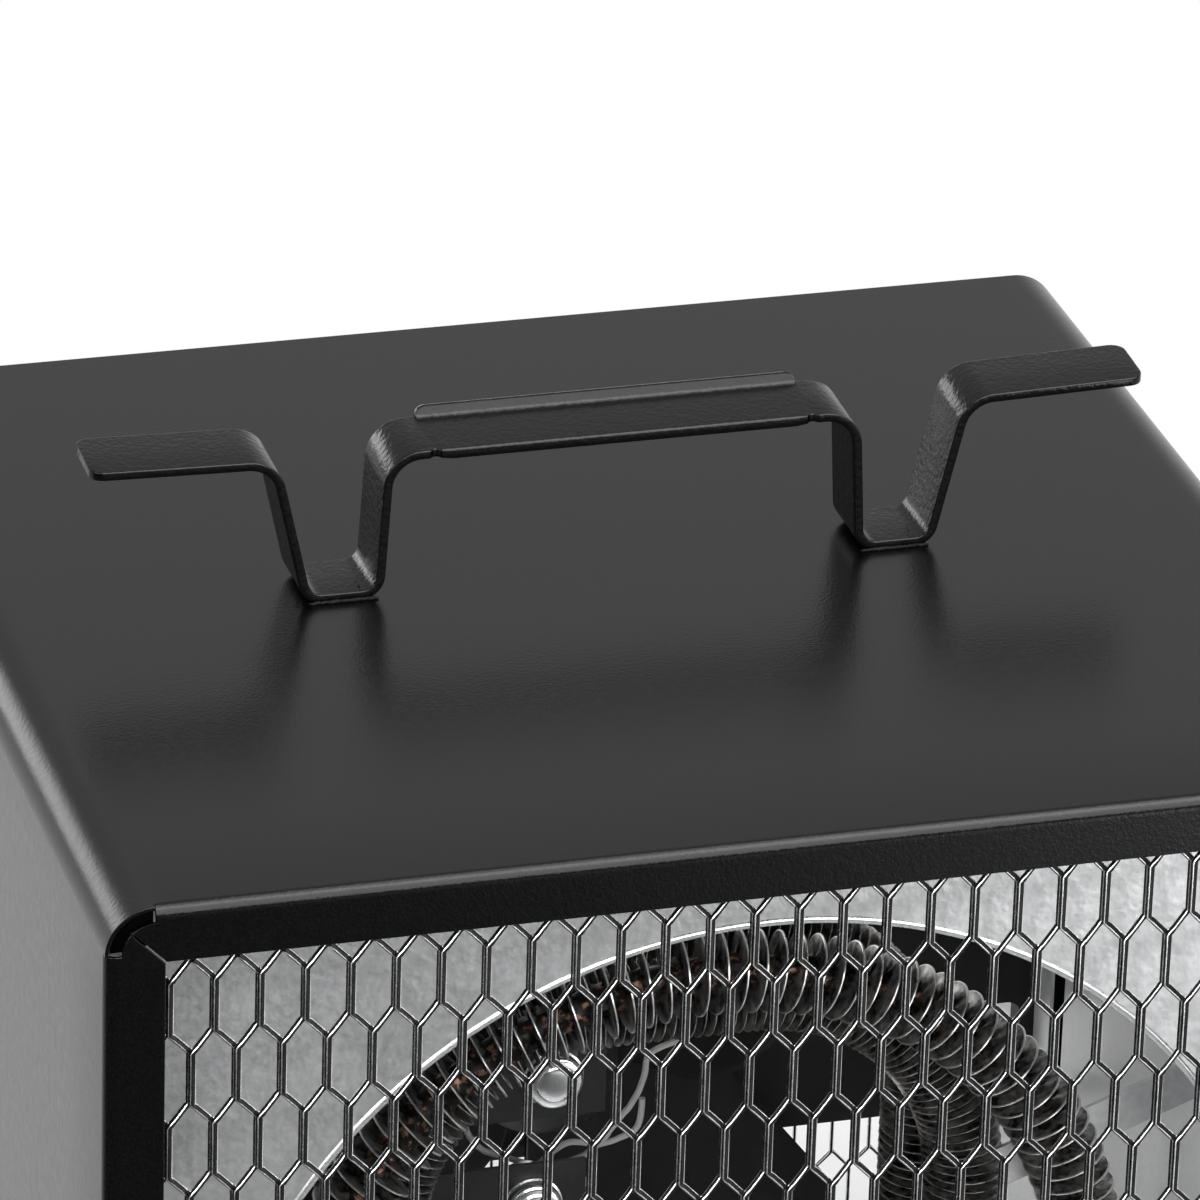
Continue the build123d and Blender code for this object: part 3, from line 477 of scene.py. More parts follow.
def expandedMetal(mesh):
    shape = newShape()
    shift = leaning(mesh) * mesh["strandWide"] / 2
    step = mesh["pitch"] / 2
    j = math.ceil((-mesh["reach"] - mesh["firstColumn"]) / step)
    while mesh["firstColumn"] + (j + 1) * step <= mesh["reach"]:
        left = mesh["firstColumn"] + j * step
        line = []
        row = -mesh["rowsAbove"]
        while mesh["topBond"] - row * mesh["row"] > mesh["low"] - mesh["row"]:
            atLeft = (row - j) % 2 == 0
            x = left if atLeft else left + step
            top = mesh["topBond"] + mesh["rowSlope"] * x - row * mesh["row"]
            place = Vector((x, mesh["middle"], top)) + (shift if atLeft else -shift)
            if line:
                bottom = line[-1][0]
                for share, turn in mesh["turns"]:
                    line.append((bottom.lerp(place, share), turn))
            line += [(place, 0.0), (place - Vector((0, 0, mesh["bond"])), 0.0)]
            row += 1
        line = [entry for entry in line if mesh["low"] <= entry[0].z <= mesh["high"]]
        rings = []
        for i, (place, turn) in enumerate(line):
            heading = line[min(i + 1, len(line) - 1)][0] - line[max(i - 1, 0)][0]
            rings.append(strandRing(mesh, place, heading.normalized(), turn))
        # mark 1 is the corner faces, which take the painted highlight
        addLoft(shape, rings, marks=[1, 1, 0] * 4)
        j += 1
    return shape


for side, look in (("front", frontMesh), ("rear", rearMesh)):
    shape, enamelAndCornerHighlight = expandedMetal(look), [finishes["grille_black"], strandCornerHighlight]
    makePiece("expanded_metal_" + side, shape, "heater", enamelAndCornerHighlight, [side + "_grille"])
print("expanded metal made")


# finned heating elements: crimped fins wound round a crumpled sheath
elements = {
    "sheath": 4.2,
    "sheathSides": 20,
    "sheathStep": 1.6,
    "crumple": 1.5,
    "crumplePerMm": 0.42,
    "crumpleDip": -0.6,
    "finOuter": 10.3,
    "finPitch": 4.75,
    "finThick": 0.62,
    "finSteps": 40,
    "finRoot": 0.2,
    "rim": 0.35,
    "crimps": 10,
    "crimp": 0.75,
    "crimpVaries": (0.6, 1.3),
    # distance beyond the fin's root, and the share of the crimp there
    "crimpFades": [(0.0, 1.0), (1.3, 0.7), (3.0, 0.0)],
}
tight = {**elements, "finPitch": 2.6, "finThick": 0.4, "finSteps": 24, "crimps": 6, "crimp": 0.45}
ringLayout = {"middle": 201.0, "radius": 101.8, "leg": 22.0, "elbow": 12.0, "y": -88.5}
loopLayout = {"half": 75.5, "top": 284.0, "bend": 59.0, "frontY": -65.5, "rearY": -30.5, "bare": 24.4}
lowEnd = 36.0


def pathPoint(path, distance):
    for kind, length, *rest in path[:-1]:
        if distance <= length:
            break
        distance -= length
    else:
        kind, length, *rest = path[-1]
    if kind == "line":
        (x0, z0), (x1, z1) = rest
        tx, tz = (x1 - x0) / length, (z1 - z0) / length
        return (x0 + tx * distance, z0 + tz * distance), (tx, tz)
    (cx, cz), radius, start, turn = rest
    angle = start + turn * distance / radius
    c, s = math.cos(angle), math.sin(angle)
    return (cx + radius * c, cz + radius * s), (-turn * s, turn * c)


def straight(a, b):
    return ("line", math.dist(a, b), a, b)


def curved(centre, radius, start, end):
    start, end = math.radians(start), math.radians(end)
    return ("arc", radius * abs(end - start), centre, radius, start, 1 if end > start else -1)


def finnedTube(path, y, bare, look):
    shape = newShape()
    total = sum(segment[1] for segment in path)

    def around(distance, angle, radius, shift=0.0):
        (x, z), (tx, tz) = pathPoint(path, distance + shift)
        out = math.cos(angle) * radius
        return (x - tz * out, y + math.sin(angle) * radius, z + tx * out)

    sides = look["sheathSides"]
    count = math.ceil(total / look["sheathStep"])
    rings = []
    for i in range(count + 1):
        along, ring = total * i / count, []
        for k in range(sides):
            angle = 2 * math.pi * k / sides
            fold = 0.0
            if bare < along < total - bare:
                spot = Vector(around(along, angle, look["sheath"])) * look["crumplePerMm"]
                fold = look["crumple"] * ripple.noise(spot)
            ring.append(around(along, angle, look["sheath"] + max(look["crumpleDip"], fold)))
        rings.append(ring)
    addLoft(shape, rings, mark=2)
    turns = round((total - 2 * bare) / look["finPitch"])
    pitch = (total - 2 * bare) / turns
    steps, thick, outer = look["finSteps"], look["finThick"] / 2, look["finOuter"]
    root = look["sheath"] - look["finRoot"]
    half = [(root + beyond, share) for beyond, share in look["crimpFades"]] + [(outer - look["rim"], 0.0)]
    profile = [(r, -thick, share) for r, share in half]
    profile += [(outer, -thick / 2, 0.0), (outer, thick / 2, 0.0)]
    profile += [(r, thick, share) for r, share in reversed(half)]
    fins = []
    dice = random.Random(round(-y))
    for i in range(turns * steps + 1):
        along, angle = bare + pitch * i / steps, 2 * math.pi * i / steps
        fold = look["crimp"] * math.sin(angle * look["crimps"]) * dice.uniform(*look["crimpVaries"])
        fins.append([around(along, angle, r, shift + fold * share) for r, shift, share in profile])
    # mark 1 is the fins' rim faces, which take the rim finish: painted highlight on the ring, painted shade on the
    # loops
    addLoft(shape, fins, openSide=True, caps=False, marks=[0, 0, 0, 1, 1, 1, 0, 0, 0])
    return shape


leg, elbow = ringLayout["leg"], ringLayout["elbow"]
orbit = ringLayout["radius"] + elbow
swing = math.degrees(math.asin((leg + elbow) / orbit))
turnZ = ringLayout["middle"] - orbit * math.cos(math.radians(swing))
ringPath = [
    straight((-leg, lowEnd), (-leg, turnZ)),
    curved((-leg - elbow, turnZ), elbow, 0, 90 - swing),
    curved((0, ringLayout["middle"]), ringLayout["radius"], 270 - swing, -90 + swing),
    curved((leg + elbow, turnZ), elbow, 90 + swing, 180),
    straight((leg, turnZ), (leg, lowEnd)),
]
leg, bend, top = (loopLayout[k] for k in ("half", "bend", "top"))
flat, rise = leg - bend, top - bend
loopPath = [
    straight((-leg, lowEnd), (-leg, rise)),
    curved((-flat, rise), bend, 180, 90),
    straight((-flat, top), (flat, top)),
    curved((flat, rise), bend, 90, 0),
    straight((leg, rise), (leg, lowEnd)),
]
bare = loopLayout["bare"]
# the front ring's rims take the bright painted highlight, the loops' rims its darker painted-shade copy
finned = [
    ("finned_ring", ringPath, ringLayout["y"], turnZ - lowEnd + elbow, "element_ring", elements, ringRimHighlight),
    ("finned_loop_front", loopPath, loopLayout["frontY"], bare, "element_loop_front", tight, loopRimInShade),
    ("finned_loop_rear", loopPath, loopLayout["rearY"], bare, "element_loop_rear", tight, loopRimInShade),
]
for name, path, y, bare, node, look, rimPaintedLight in finned:
    shape = finnedTube(path, y, bare, look)
    steels = [finishes["element_steel"], rimPaintedLight, sheathSteel]
    makePiece(name, shape, "heater", steels, [node], outward=False)
print("finned elements made")


# casing wrap: the bent sheet's outer face, thickened inwards
casing = {
    "half": 166.5,
    "low": 10.0,
    "top": 370.0,
    "front": -149.5,
    "rear": 155.5,
    "corner": 12.0,
    "bend": 3.0,
    "flangeEdge": 14.5,
    "slot": 3.0,
    "slotEnd": 6.34,
    "mitre": 0.4,
    "cornerSetback": 0.5,
    "shadeTabBack": 2.4,
    "shadeTabReach": (2.0, 10.95),
    "sheet": 1.0,
    "join": 0.02,
    "edgeRound": 0.32,
    "edgeAngle": 50.0,
    "smooth": 30.0,
}


def casingWrap(c):
    shape = newShape()
    half, top, front, rear, r, b = (c[k] for k in ("half", "top", "front", "rear", "corner", "bend"))
    arcX, arcZ, low, edge = half - r, top - r, c["low"], c["flangeEdge"]
    land = r - c["sheet"] - c["slot"]
    slotStart, slotEnd = r - land, c["slotEnd"]
    depths = [rear - (rear - front - b) * i / 8 for i in range(9)]
    # columns from the rear to the flange's edge: inset, depth, how far each runs past the start of the corner
    columns = [(0.0, y, 0.0) for y in depths]
    columns += [(b * (1 - near), front + b - b * up, 0.0) for near, up in quarter(8)[1:]]
    insets = [b + (slotStart - b) * i / 2 for i in (1, 2)]
    insets += [slotStart + (slotEnd - slotStart) * i / 6 for i in range(1, 7)]
    columns += [(inset, front, math.sqrt(max(0.0, land**2 - (r - inset) ** 2))) for inset in insets]
    insets = [slotEnd + (edge - slotEnd) * i / 8 for i in range(1, 9)]
    columns += [(inset, front, r - inset - c["mitre"] / math.sqrt(2)) for inset in insets]

    def addSheet(rows, mark=0):
        addLoft(shape, rows, caps=False, openSide=True, mark=mark)

    crowded = [0.2, 0.5, 0.8, 0.97, 1.0]
    for side in (-1, 1):
        rows = []
        for share in [0.0, 0.03, *crowded]:
            rise = (arcZ - low) * share
            rows.append([(side * (half - inset), y, low + rise + past * share) for inset, y, past in columns])
        addSheet(rows)
    shares = [-share for share in reversed(crowded)] + crowded
    addSheet([[((arcX + past) * share, y, top - inset) for inset, y, past in columns] for share in shares])
    lines = [*depths, front + c["cornerSetback"]]
    for side in (-1, 1):
        addSheet([[(side * (arcX + r * near), y, arcZ + r * up) for y in lines] for near, up in quarter(16)])
    # painted shade: a near-black tab tucked behind the mitre, up to the rounded corner, where the slot shows only
    # shade
    y = front + c["shadeTabBack"]
    for side in (-1, 1):
        spots = [[(arcX + q * near, arcZ + q * up) for q in c["shadeTabReach"]] for near, up in quarter(12)]
        addSheet([[(side * x, y, z) for x, z in row] for row in spots], mark=1)
    return shape


coatAndShadeTab = [finishes["casing_black"], shadeTabBlack]
smooth = casing["smooth"]
wrap = makePiece("casing_skin", casingWrap(casing), "heater", coatAndShadeTab, ["casing_wrap"], smooth)
turnOutward(wrap.data, casing["join"], Vector((0, 0, 0.15)))
wrap.data.set_sharp_from_angle(angle=math.radians(smooth))
thick = wrap.modifiers.new("sheet", "SOLIDIFY")
thick.thickness = casing["sheet"] * mm
thick.offset = -1
thick.use_even_offset = True
edge = wrap.modifiers.new("edges", "BEVEL")
edge.width = casing["edgeRound"] * mm
edge.segments = 3
edge.limit_method = "ANGLE"
edge.angle_limit = math.radians(casing["edgeAngle"])
edge.harden_normals = True
print("casing made")


# carry handle: one bent strap whose grip has a turned-up rear lip
handle = {
    "front": -1.1,
    "width": 19.3,
    "thick": 2.3,
    "edge": 0.4,
    "tilt": 0.8,  # how much higher the rear edge of grip and wings sits
    "footLevel": 370.0,
    "tiltOver": 38.0,
    "under": [(59.1, 406.7), (61.2, 370.0), (81.7, 370.0), (90.2, 407.7), (135.8, 408.9)],
    "bends": [7.5, 6.0, 6.0, 7.5],
    "tip": 3.5,
    "lipHalf": 49.4,
    "lipLean": 24.0,
    "lipBend": 3.0,
    "lipLong": 3.9,
    "lipEnd": 2.9,
    "lipCorner": 0.32,
    "lipFoot": 6.0,
    "lipSteps": 7,
    "rearFlat": 5.0,
    "gripHalf": 58.0,
    "gripLow": 400.0,
    "wingFrom": 95.0,
    "foldFull": 44.4,
    "foldStart": 47.6,
    "foldDrop": 0.5,
    "foldRound": 0.8,
    "foldRun": 0.8,
    "notchAt": 48.6,
    "notchWide": 1.5,
    "notchDeep": 0.9,
}


def roundedLine(points, bends, steps):
    points = [Vector(point) for point in points]
    line = [(points[0], (points[1] - points[0]).normalized())]
    for bend, a, b, c in zip(bends, points, points[1:], points[2:]):
        into, out = (b - a).normalized(), (c - b).normalized()
        turn = into.angle(out)
        side = 1 if into.x * out.y - into.y * out.x > 0 else -1
        start = b - into * bend * math.tan(turn / 2)
        centre = start + side * bend * Vector((-into.y, into.x))
        spoke = start - centre
        for k in range(steps + 1):
            spin = Matrix.Rotation(side * turn * k / steps, 2)
            line.append((centre + spin @ spoke, spin @ into))
    line.append((points[-1], (points[-1] - points[-2]).normalized()))
    return line


def beside(spot, out, back=0.0):
    place, heading = spot
    return (place.x + heading.y * out - heading.x * back, place.y - heading.x * out - heading.y * back)


def strapSection(h, frontY, shrink, lip, fold):
    # (across, up) points round the strap: lip 0 is flat, fold 1 has its front edge turned down
    t, e, steps, flat = h["thick"], h["edge"], h["lipSteps"], h["rearFlat"]
    ease = e * 0.3
    y0, y1 = frontY + shrink, h["front"] + h["width"] - shrink
    low = -h["foldDrop"] * fold
    ring = [(y0, low + e), (y0 + ease, low + ease), (y0 + e, low), (y0 + t, low), (y0 + t + h["foldRun"], 0.0)]
    if lip:
        lean = math.radians(h["lipLean"])
        long = h["lipLong"] - (1 - lip) * h["lipEnd"]
        corner = (y1 - t * h["lipCorner"], t / 2)
        lipTop = (corner[0] + math.sin(lean) * long, corner[1] + math.cos(lean) * long)
        bend = min(h["lipBend"], 0.9 * long / math.tan((math.pi / 2 - lean) / 2))
        *line, end = roundedLine([(y1 - h["lipFoot"], t / 2), corner, lipTop], [bend], steps)[1:]
        ring += [beside(spot, t / 2) for spot in line]
        ring += [beside(end, t / 2, e), beside(end, t / 2 - e), beside(end, e - t / 2), beside(end, -t / 2, e)]
        ring += [beside(spot, -t / 2) for spot in reversed(line)]
    else:
        ring += [(y1 - flat + (flat - e) * i / steps, 0.0) for i in range(steps + 1)]
        ring += [(y1, e), (y1, t - e), (y1 - ease, t - ease), (y1 - e, t)]
        ring += [(y1 - e - 0.1 - (flat - e) * i / steps, t) for i in range(steps + 1)]
    r = e + (h["foldRound"] - e) * fold
    ring += [(y0 + r - r * up, t - r + r * near) for near, up in quarter(4)]
    return ring


def carryHandle(h):
    right = h["under"]
    points = [(-x, z) for x, z in reversed(right)] + right
    line = roundedLine(points, [*reversed(h["bends"]), *h["bends"]], 12)
    marks = [h["notchAt"] + h["notchWide"] * k / 5 for k in range(-5, 6)]
    marks += [h["foldFull"] + (h["foldStart"] - h["foldFull"]) * k / 4 for k in range(5)]
    marks += [h["lipHalf"] - 0.001 - h["lipEnd"] * (1 - math.cos(math.pi / 2 * k / 6)) for k in range(7)]
    marks += [h["lipHalf"] + 0.002, 8, 16, 24, 32, 40]
    gripMarks = sorted({0.0, *marks, *[-m for m in marks]})
    stations = []
    for i, (place, heading) in enumerate(line):
        stations.append((place, heading))
        if i + 1 == len(line):
            break
        following = line[i + 1][0]
        gap = (following - place).length
        if gap > 6 and max(abs(place.x), abs(following.x)) > h["wingFrom"]:
            near = [h["tip"] * k for k in (0.02, 0.08, 0.2, 0.4, 0.7, 1.0)]
            cuts = near if i == 0 else [gap - d for d in reversed(near)]
            cuts = sorted([*cuts, gap * 0.5])
        elif gap > 60:
            cuts = [x - place.x for x in gripMarks if 0 < x - place.x < gap]
        else:
            cuts = [gap / 2] if gap > 12 else []
        stations += [(place + heading * cut, heading) for cut in cuts]
    shape = newShape()
    rings = []
    wing = right[-1][0]
    for place, heading in stations:
        x = abs(place.x)
        shrink = 0.0
        if wing - x < h["tip"]:
            shrink = h["tip"] - math.sqrt(max(0.0, h["tip"] ** 2 - (h["tip"] - wing + x) ** 2))
        lip, fold, frontY = 0.0, 0.0, h["front"]
        if place.y > h["gripLow"] and x < h["gripHalf"]:
            inside = h["lipHalf"] - x
            if inside > 0:
                share = min(1.0, inside / h["lipEnd"])
                lip = max(0.02, math.sqrt(max(0.0, 1 - (1 - share) ** 2)))
            fold = min(1.0, max(0.0, (h["foldStart"] - x) / (h["foldStart"] - h["foldFull"])))
            bite = (x - h["notchAt"]) / h["notchWide"]
            if abs(bite) < 1:
                frontY += h["notchDeep"] * (1 - bite * bite)
        up = Vector((-heading.y, heading.x))
        ring = []
        for y, n in strapSection(h, frontY, shrink, lip, fold):
            point = place + up * n
            rise = h["tilt"] * (y - h["front"]) / h["width"] * (place.y - h["footLevel"]) / h["tiltOver"]
            ring.append((point.x, y, point.y + rise))
        rings.append(ring)
    addLoft(shape, rings)
    return shape


makePiece("strap_handle", carryHandle(handle), "heater", [strapBlack], ["carry_handle"], 40)

# weld run under the front edge of each foot
weldRun = {
    "from": 62.5,
    "to": 80.5,
    "y": -1.3,
    "z": 370.25,
    "size": 0.55,
    "sizeVaries": (0.75, 1.25),
    "wander": (-0.18, 0.18),
    "lift": (-0.05, 0.15),
    "steps": 44,
    "seed": 7,
}


def weldBead(w, side):
    dice = random.Random(w["seed"] + side)
    shape = newShape()
    rings = []
    for i in range(w["steps"] + 1):
        share = i / w["steps"]
        x = side * (w["from"] + (w["to"] - w["from"]) * share)
        size = w["size"] * math.sqrt(max(0.02, 1 - (2 * share - 1) ** 6)) * dice.uniform(*w["sizeVaries"])
        y = w["y"] + dice.uniform(*w["wander"])
        z = w["z"] + dice.uniform(*w["lift"])
        rings.append([(x, y + size * near, z + size * up) for near, up in spokes(10)])
    addLoft(shape, rings)
    return shape


for side, label in ((-1, "left"), (1, "right")):
    makePiece("weld_run_" + label, weldBead(weldRun, side), "heater", [weldBlack], smooth=80)
print("handle made")


# thermal cut-outs: drawn caps turned about Y, each with two tabs
cutouts = {
    "places": {"upper": (-28.0, 256.0), "lower": (-32.5, 220.0)},
    "profile": [
        (1.5, -53.28), (3.0, -53.2), (4.4, -53.05), (4.9, -52.8), (5.2, -52.55), (5.6, -52.5), (6.5, -52.35),
        (7.1, -51.9), (7.4, -51.2), (7.4, -49.6), (7.9, -49.4), (7.9, -48.6), (5.4, -48.55), (5.4, -47.25),
        (8.0, -47.2), (8.0, -40.0), (7.4, -39.3),
    ],
    "sides": 48,
    "tab": {"apart": 3.5, "half": 0.4, "front": -39.4, "back": -33.3, "tall": 3.15},
}


def cutoutCap(look, x, z):
    shape = newShape()
    addTurned(shape, look["profile"], x, z, look["sides"])
    tab = look["tab"]
    for side in (-1, 1):
        middle, low, high = x + side * tab["apart"], z - tab["tall"], z + tab["tall"]
        corners = [(tab["front"], low), (tab["back"], low), (tab["back"], high), (tab["front"], high)]
        addLoft(shape, [[(middle + face * tab["half"], y, up) for y, up in corners] for face in (-1, 1)])
    return shape


for which, (x, z) in cutouts["places"].items():
    caps, stand = [finishes["cutout_metal"]], "cutout_disc_" + which
    makePiece("cutout_cap_" + which, cutoutCap(cutouts, x, z), "heater", caps, [stand], 30)
print("cut-outs made")


# fan rotor: four cambered petals riveted to a turned hub
fan = {
    "centre": (0.0, 62.5, 201.0),
    "rest": -48.0,
    "blades": 4,
    "root": 15.0,
    "radius": 112.0,
    "upper": [(15, 13.0), (26, 27.5), (38, 29.5), (60, 30.0), (112, 27.0)],
    "lower": [(15, 15.0), (26, 31.0), (38, 35.0), (60, 35.5), (112, 31.0)],
    "pitch": 30.0,
    "camber": 6.0,
    "chord": 35.5,
    "thick": 1.4,
    "edge": 0.7,
    "rounding": 10.0,
    "hub": [
        (4.3, 51.5), (17.5, 51.5), (19.4, 52.3), (20.0, 54.0),
        (20.0, 71.0), (19.4, 72.8), (17.5, 73.5), (4.3, 73.5),
    ],
    "rivets": [(22.5, 4.0), (22.5, -4.0), (29.0, 0.0)],
    "rivetRadius": 2.2,
    "rivetHeight": 0.9,
    "edgeSlope": 1.2,
    "steps": (34, 20),
}


def alongLine(points, u):
    for (u0, w0), (u1, w1) in zip(points, points[1:]):
        if u <= u1:
            return w0 + (w1 - w0) * (u - u0) / (u1 - u0)
    return points[-1][1]


def bladeWidth(f, side, u):
    flat = alongLine(f[side], u)
    arc = math.sqrt(max(0.0, f["radius"] ** 2 - u * u))
    blend = f["rounding"] * max(0.0, 1 - abs(flat - arc) / f["rounding"]) ** 2 / 4
    return max(0.02, min(flat, arc) - blend)


def fanBlade(f, shape, turn):
    cx, cy, cz = f["centre"]
    c, s = math.cos(turn), math.sin(turn)
    slope = math.radians(f["pitch"])

    def place(u, v, lift):
        bulge = f["camber"] * (1 - (v / f["chord"]) ** 2) + lift
        y, v = math.tan(slope) * v + math.cos(slope) * bulge, v - math.sin(slope) * bulge
        return (cx + u * c - v * s, cy + y, cz + u * s + v * c)

    thick, (long, wide) = f["thick"], f["steps"]
    rings = []
    for i in range(long + 1):
        u = f["root"] + (f["radius"] - f["root"]) * math.sin(math.pi / 2 * i / long)
        high, low = bladeWidth(f, "upper", u), bladeWidth(f, "lower", u)
        vs = [-low + (high + low) * (1 - math.cos(math.pi * k / wide)) / 2 for k in range(wide + 1)]
        half = [0.5 * min(thick, f["edge"] + f["edgeSlope"] * min(v + low, high - v)) for v in vs]
        ring = [place(u, v, thick / 2 - h) for v, h in zip(vs, half)]
        ring += [place(u, v, thick / 2 + h) for v, h in reversed(list(zip(vs, half)))]
        rings.append(ring)
    addLoft(shape, rings)
    for u, v in f["rivets"]:
        for face in (-1, 1):
            dome = []
            for share in (0.0, 0.35, 0.7, 0.95):
                q = f["rivetRadius"] * math.cos(math.pi / 2 * share)
                lift = thick / 2 + face * (thick / 2 + f["rivetHeight"] * math.sin(math.pi / 2 * share))
                dome.append([place(u + q * near, v + q * up, lift) for near, up in spokes(16)])
            addLoft(shape, dome)


rotor = newShape()
for i in range(fan["blades"]):
    fanBlade(fan, rotor, math.radians(fan["rest"] + 360 * i / fan["blades"]))
addTurned(rotor, fan["hub"], fan["centre"][0], fan["centre"][2], 64, closed=True)
makePiece("fan_petals", rotor, "fan", [finishes["fan_metal"]], ["fan_rotor"], 40)
print("fan made")


# motor mounting plate: stiffening flanges, a window near each end, holes for boss and screws
mount = {
    "half": 150.0,
    "low": 151.0,
    "high": 251.0,
    "front": 93.5,
    "back": 95.5,
    "flange": 14.0,
    "window": (110.0, 146.0, 156.0, 182.0),
    "windowRound": 4.0,
    "boss": 12.4,
    "screw": 2.3,
    "screwAt": 28.0 * math.sqrt(0.5),
    "axis": 201.0,
    "round": 3.0,
    "roundSteps": 5,
    "edge": 0.25,
    "flangeThick": 2.0,
    "flangeInset": 2.0,
    "flangeBehind": 0.4,
    "flangeRound": 0.3,
    "join": 0.01,
}


def roundHole(x, z, r, sides):
    return [(x + r * near, z + r * up) for near, up in spokes(sides)]


def sheetWithHoles(name, outline, holes, y0, y1, bevel):
    # a flat sheet between y0 and y1, cut from closed outlines by a filled curve
    curve = bpy.data.curves.new(name, "CURVE")
    curve.dimensions = "2D"
    curve.fill_mode = "BOTH"
    for spots in [outline, *holes]:
        line = curve.splines.new("POLY")
        line.points.add(len(spots) - 1)
        for point, (x, z) in zip(line.points, spots):
            point.co = (x * mm, z * mm, 0, 1)
        line.use_cyclic_u = True
    curve.extrude = (abs(y1 - y0) / 2 - bevel) * mm
    curve.bevel_depth = bevel * mm
    curve.bevel_resolution = 1
    curve.offset = -bevel * mm
    flat = bpy.data.objects.new(name, curve)
    mesh = bpy.data.meshes.new_from_object(flat)
    bpy.data.objects.remove(flat)
    middle = (y0 + y1) / 2 * mm
    mesh.transform(Matrix(((1, 0, 0, 0), (0, 0, -1, middle), (0, 1, 0, 0), (0, 0, 0, 1))))
    return mesh


def addSheetBlock(mesh, x0, x1, y0, y1, z0, z1, rounding):
    work = bmesh.new()
    work.from_mesh(mesh)
    cube = bmesh.ops.create_cube(work, size=1.0)["verts"]
    size = Vector((x1 - x0, y1 - y0, z1 - z0)) * mm
    middle = Vector((x0 + x1, y0 + y1, z0 + z1)) * mm / 2
    for vert in cube:
        vert.co = Vector([a * b for a, b in zip(vert.co, size)]) + middle
    edges = {edge for vert in cube for edge in vert.link_edges}
    bmesh.ops.bevel(work, geom=list(edges), offset=rounding * mm, segments=2, affect="EDGES")
    work.to_mesh(mesh)
    work.free()


def motorMount(m):
    outline = roundedBox(-m["half"], m["half"], m["low"], m["high"], m["round"], m["roundSteps"])
    x0, x1, z0, z1 = m["window"]
    holes = [roundedBox(*ends, z0, z1, m["windowRound"], m["roundSteps"]) for ends in ((x0, x1), (-x1, -x0))]
    holes.append(roundHole(0, m["axis"], m["boss"], 48))
    for sx in (-1, 1):
        for sz in (-1, 1):
            holes.append(roundHole(sx * m["screwAt"], m["axis"] + sz * m["screwAt"], m["screw"], 20))
    mesh = sheetWithHoles("motor_mount", outline, holes, m["front"], m["back"], m["edge"])
    y0, y1 = m["front"] + m["flangeBehind"], m["front"] + m["flange"]
    z0, z1 = m["low"] + m["flangeInset"], m["high"] - m["flangeInset"]
    for side in (-1, 1):
        x0, x1 = sorted((side * m["half"], side * (m["half"] - m["flangeThick"])))
        addSheetBlock(mesh, x0, x1, y0, y1, z0, z1, m["flangeRound"])
    turnOutward(mesh, m["join"])
    return mesh


# the plate takes the near-black painted-shade finish
placePiece("motor_mount", motorMount(mount), "heater", [motorPlateInShade], ["motor_plate"])
print("motor mount made")


# braided leads between the cut-outs' tabs: (x, z) points and a little depth in y
leads = {
    "y": -36.3,
    "radius": 0.8,
    "twist": 0.96,
    "lobes": 3,
    "lobeDepth": 0.05,
    "sides": 14,
    "steps": 6,
    "runs": [
        [
            (-24.5, 254.5), (-21.0, 258.5), (-12.0, 260.6), (0.0, 260.2), (7.2, 258.6), (8.0, 255.6), (3.6, 254.1),
            (0.5, 251.9), (-0.1, 247.4), (-1.3, 243.0), (-3.5, 238.6), (-6.0, 235.5), (-8.8, 231.8), (-10.8, 229.2),
            (-14.0, 228.7), (-19.5, 229.6), (-25.0, 226.5), (-29.0, 221.5),
        ],
        [
            (-31.5, 254.5), (-35.0, 257.5), (-42.0, 255.0), (-46.5, 247.0), (-46.6, 237.0), (-42.3, 230.2),
            (-35.9, 227.1), (-30.9, 224.8), (-25.1, 223.4), (-20.4, 223.7), (-15.7, 224.9), (-12.1, 227.6),
            (-6.6, 228.9), (-1.5, 232.0), (-0.6, 240.0),
        ],
        [
            (-36.0, 219.5), (-35.8, 223.4), (-30.8, 220.6), (-25.5, 218.9), (-21.6, 220.1), (-17.7, 221.1),
            (-15.5, 218.8), (-14.4, 215.1), (-16.6, 211.0), (-22.5, 210.6), (-29.0, 216.5),
        ],
    ],
    "depths": [0.0, 0.6, -1.9],
}


def smoothRun(points, steps):
    out = []
    ends = [Vector(point) for point in (points[0], *points, points[-1])]
    for p0, p1, p2, p3 in zip(ends, ends[1:], ends[2:], ends[3:]):
        for k in range(steps):
            t = k / steps
            curve = (2 * p0 - 5 * p1 + 4 * p2 - p3) * t**2 + (3 * p1 - p0 - 3 * p2 + p3) * t**3
            out.append(0.5 * (2 * p1 + (p2 - p0) * t + curve))
    out.append(Vector(points[-1]))
    return out


def braidedLeads(look):
    shape = newShape()
    for points, depth in zip(look["runs"], look["depths"]):
        line = smoothRun(points, look["steps"])
        rings = []
        for i, p in enumerate(line):
            y = look["y"] + depth * math.sin(math.pi * i / (len(line) - 1))
            t = (line[min(i + 1, len(line) - 1)] - line[max(i - 1, 0)]).normalized()
            ring = []
            for k in range(look["sides"]):
                a = 2 * math.pi * k / look["sides"]
                r = look["radius"] * (1 + look["lobeDepth"] * math.sin(look["lobes"] * a + i * look["twist"]))
                ring.append((p.x - t.y * r * math.cos(a), y + r * math.sin(a), p.y + t.x * r * math.cos(a)))
            rings.append(ring)
        addLoft(shape, rings)
    return shape


sleeve = [finishes["lead_sleeve"]]
makePiece("braided_leads", braidedLeads(leads), "heater", sleeve, ["cutout_leads"], 60)
print("leads made")


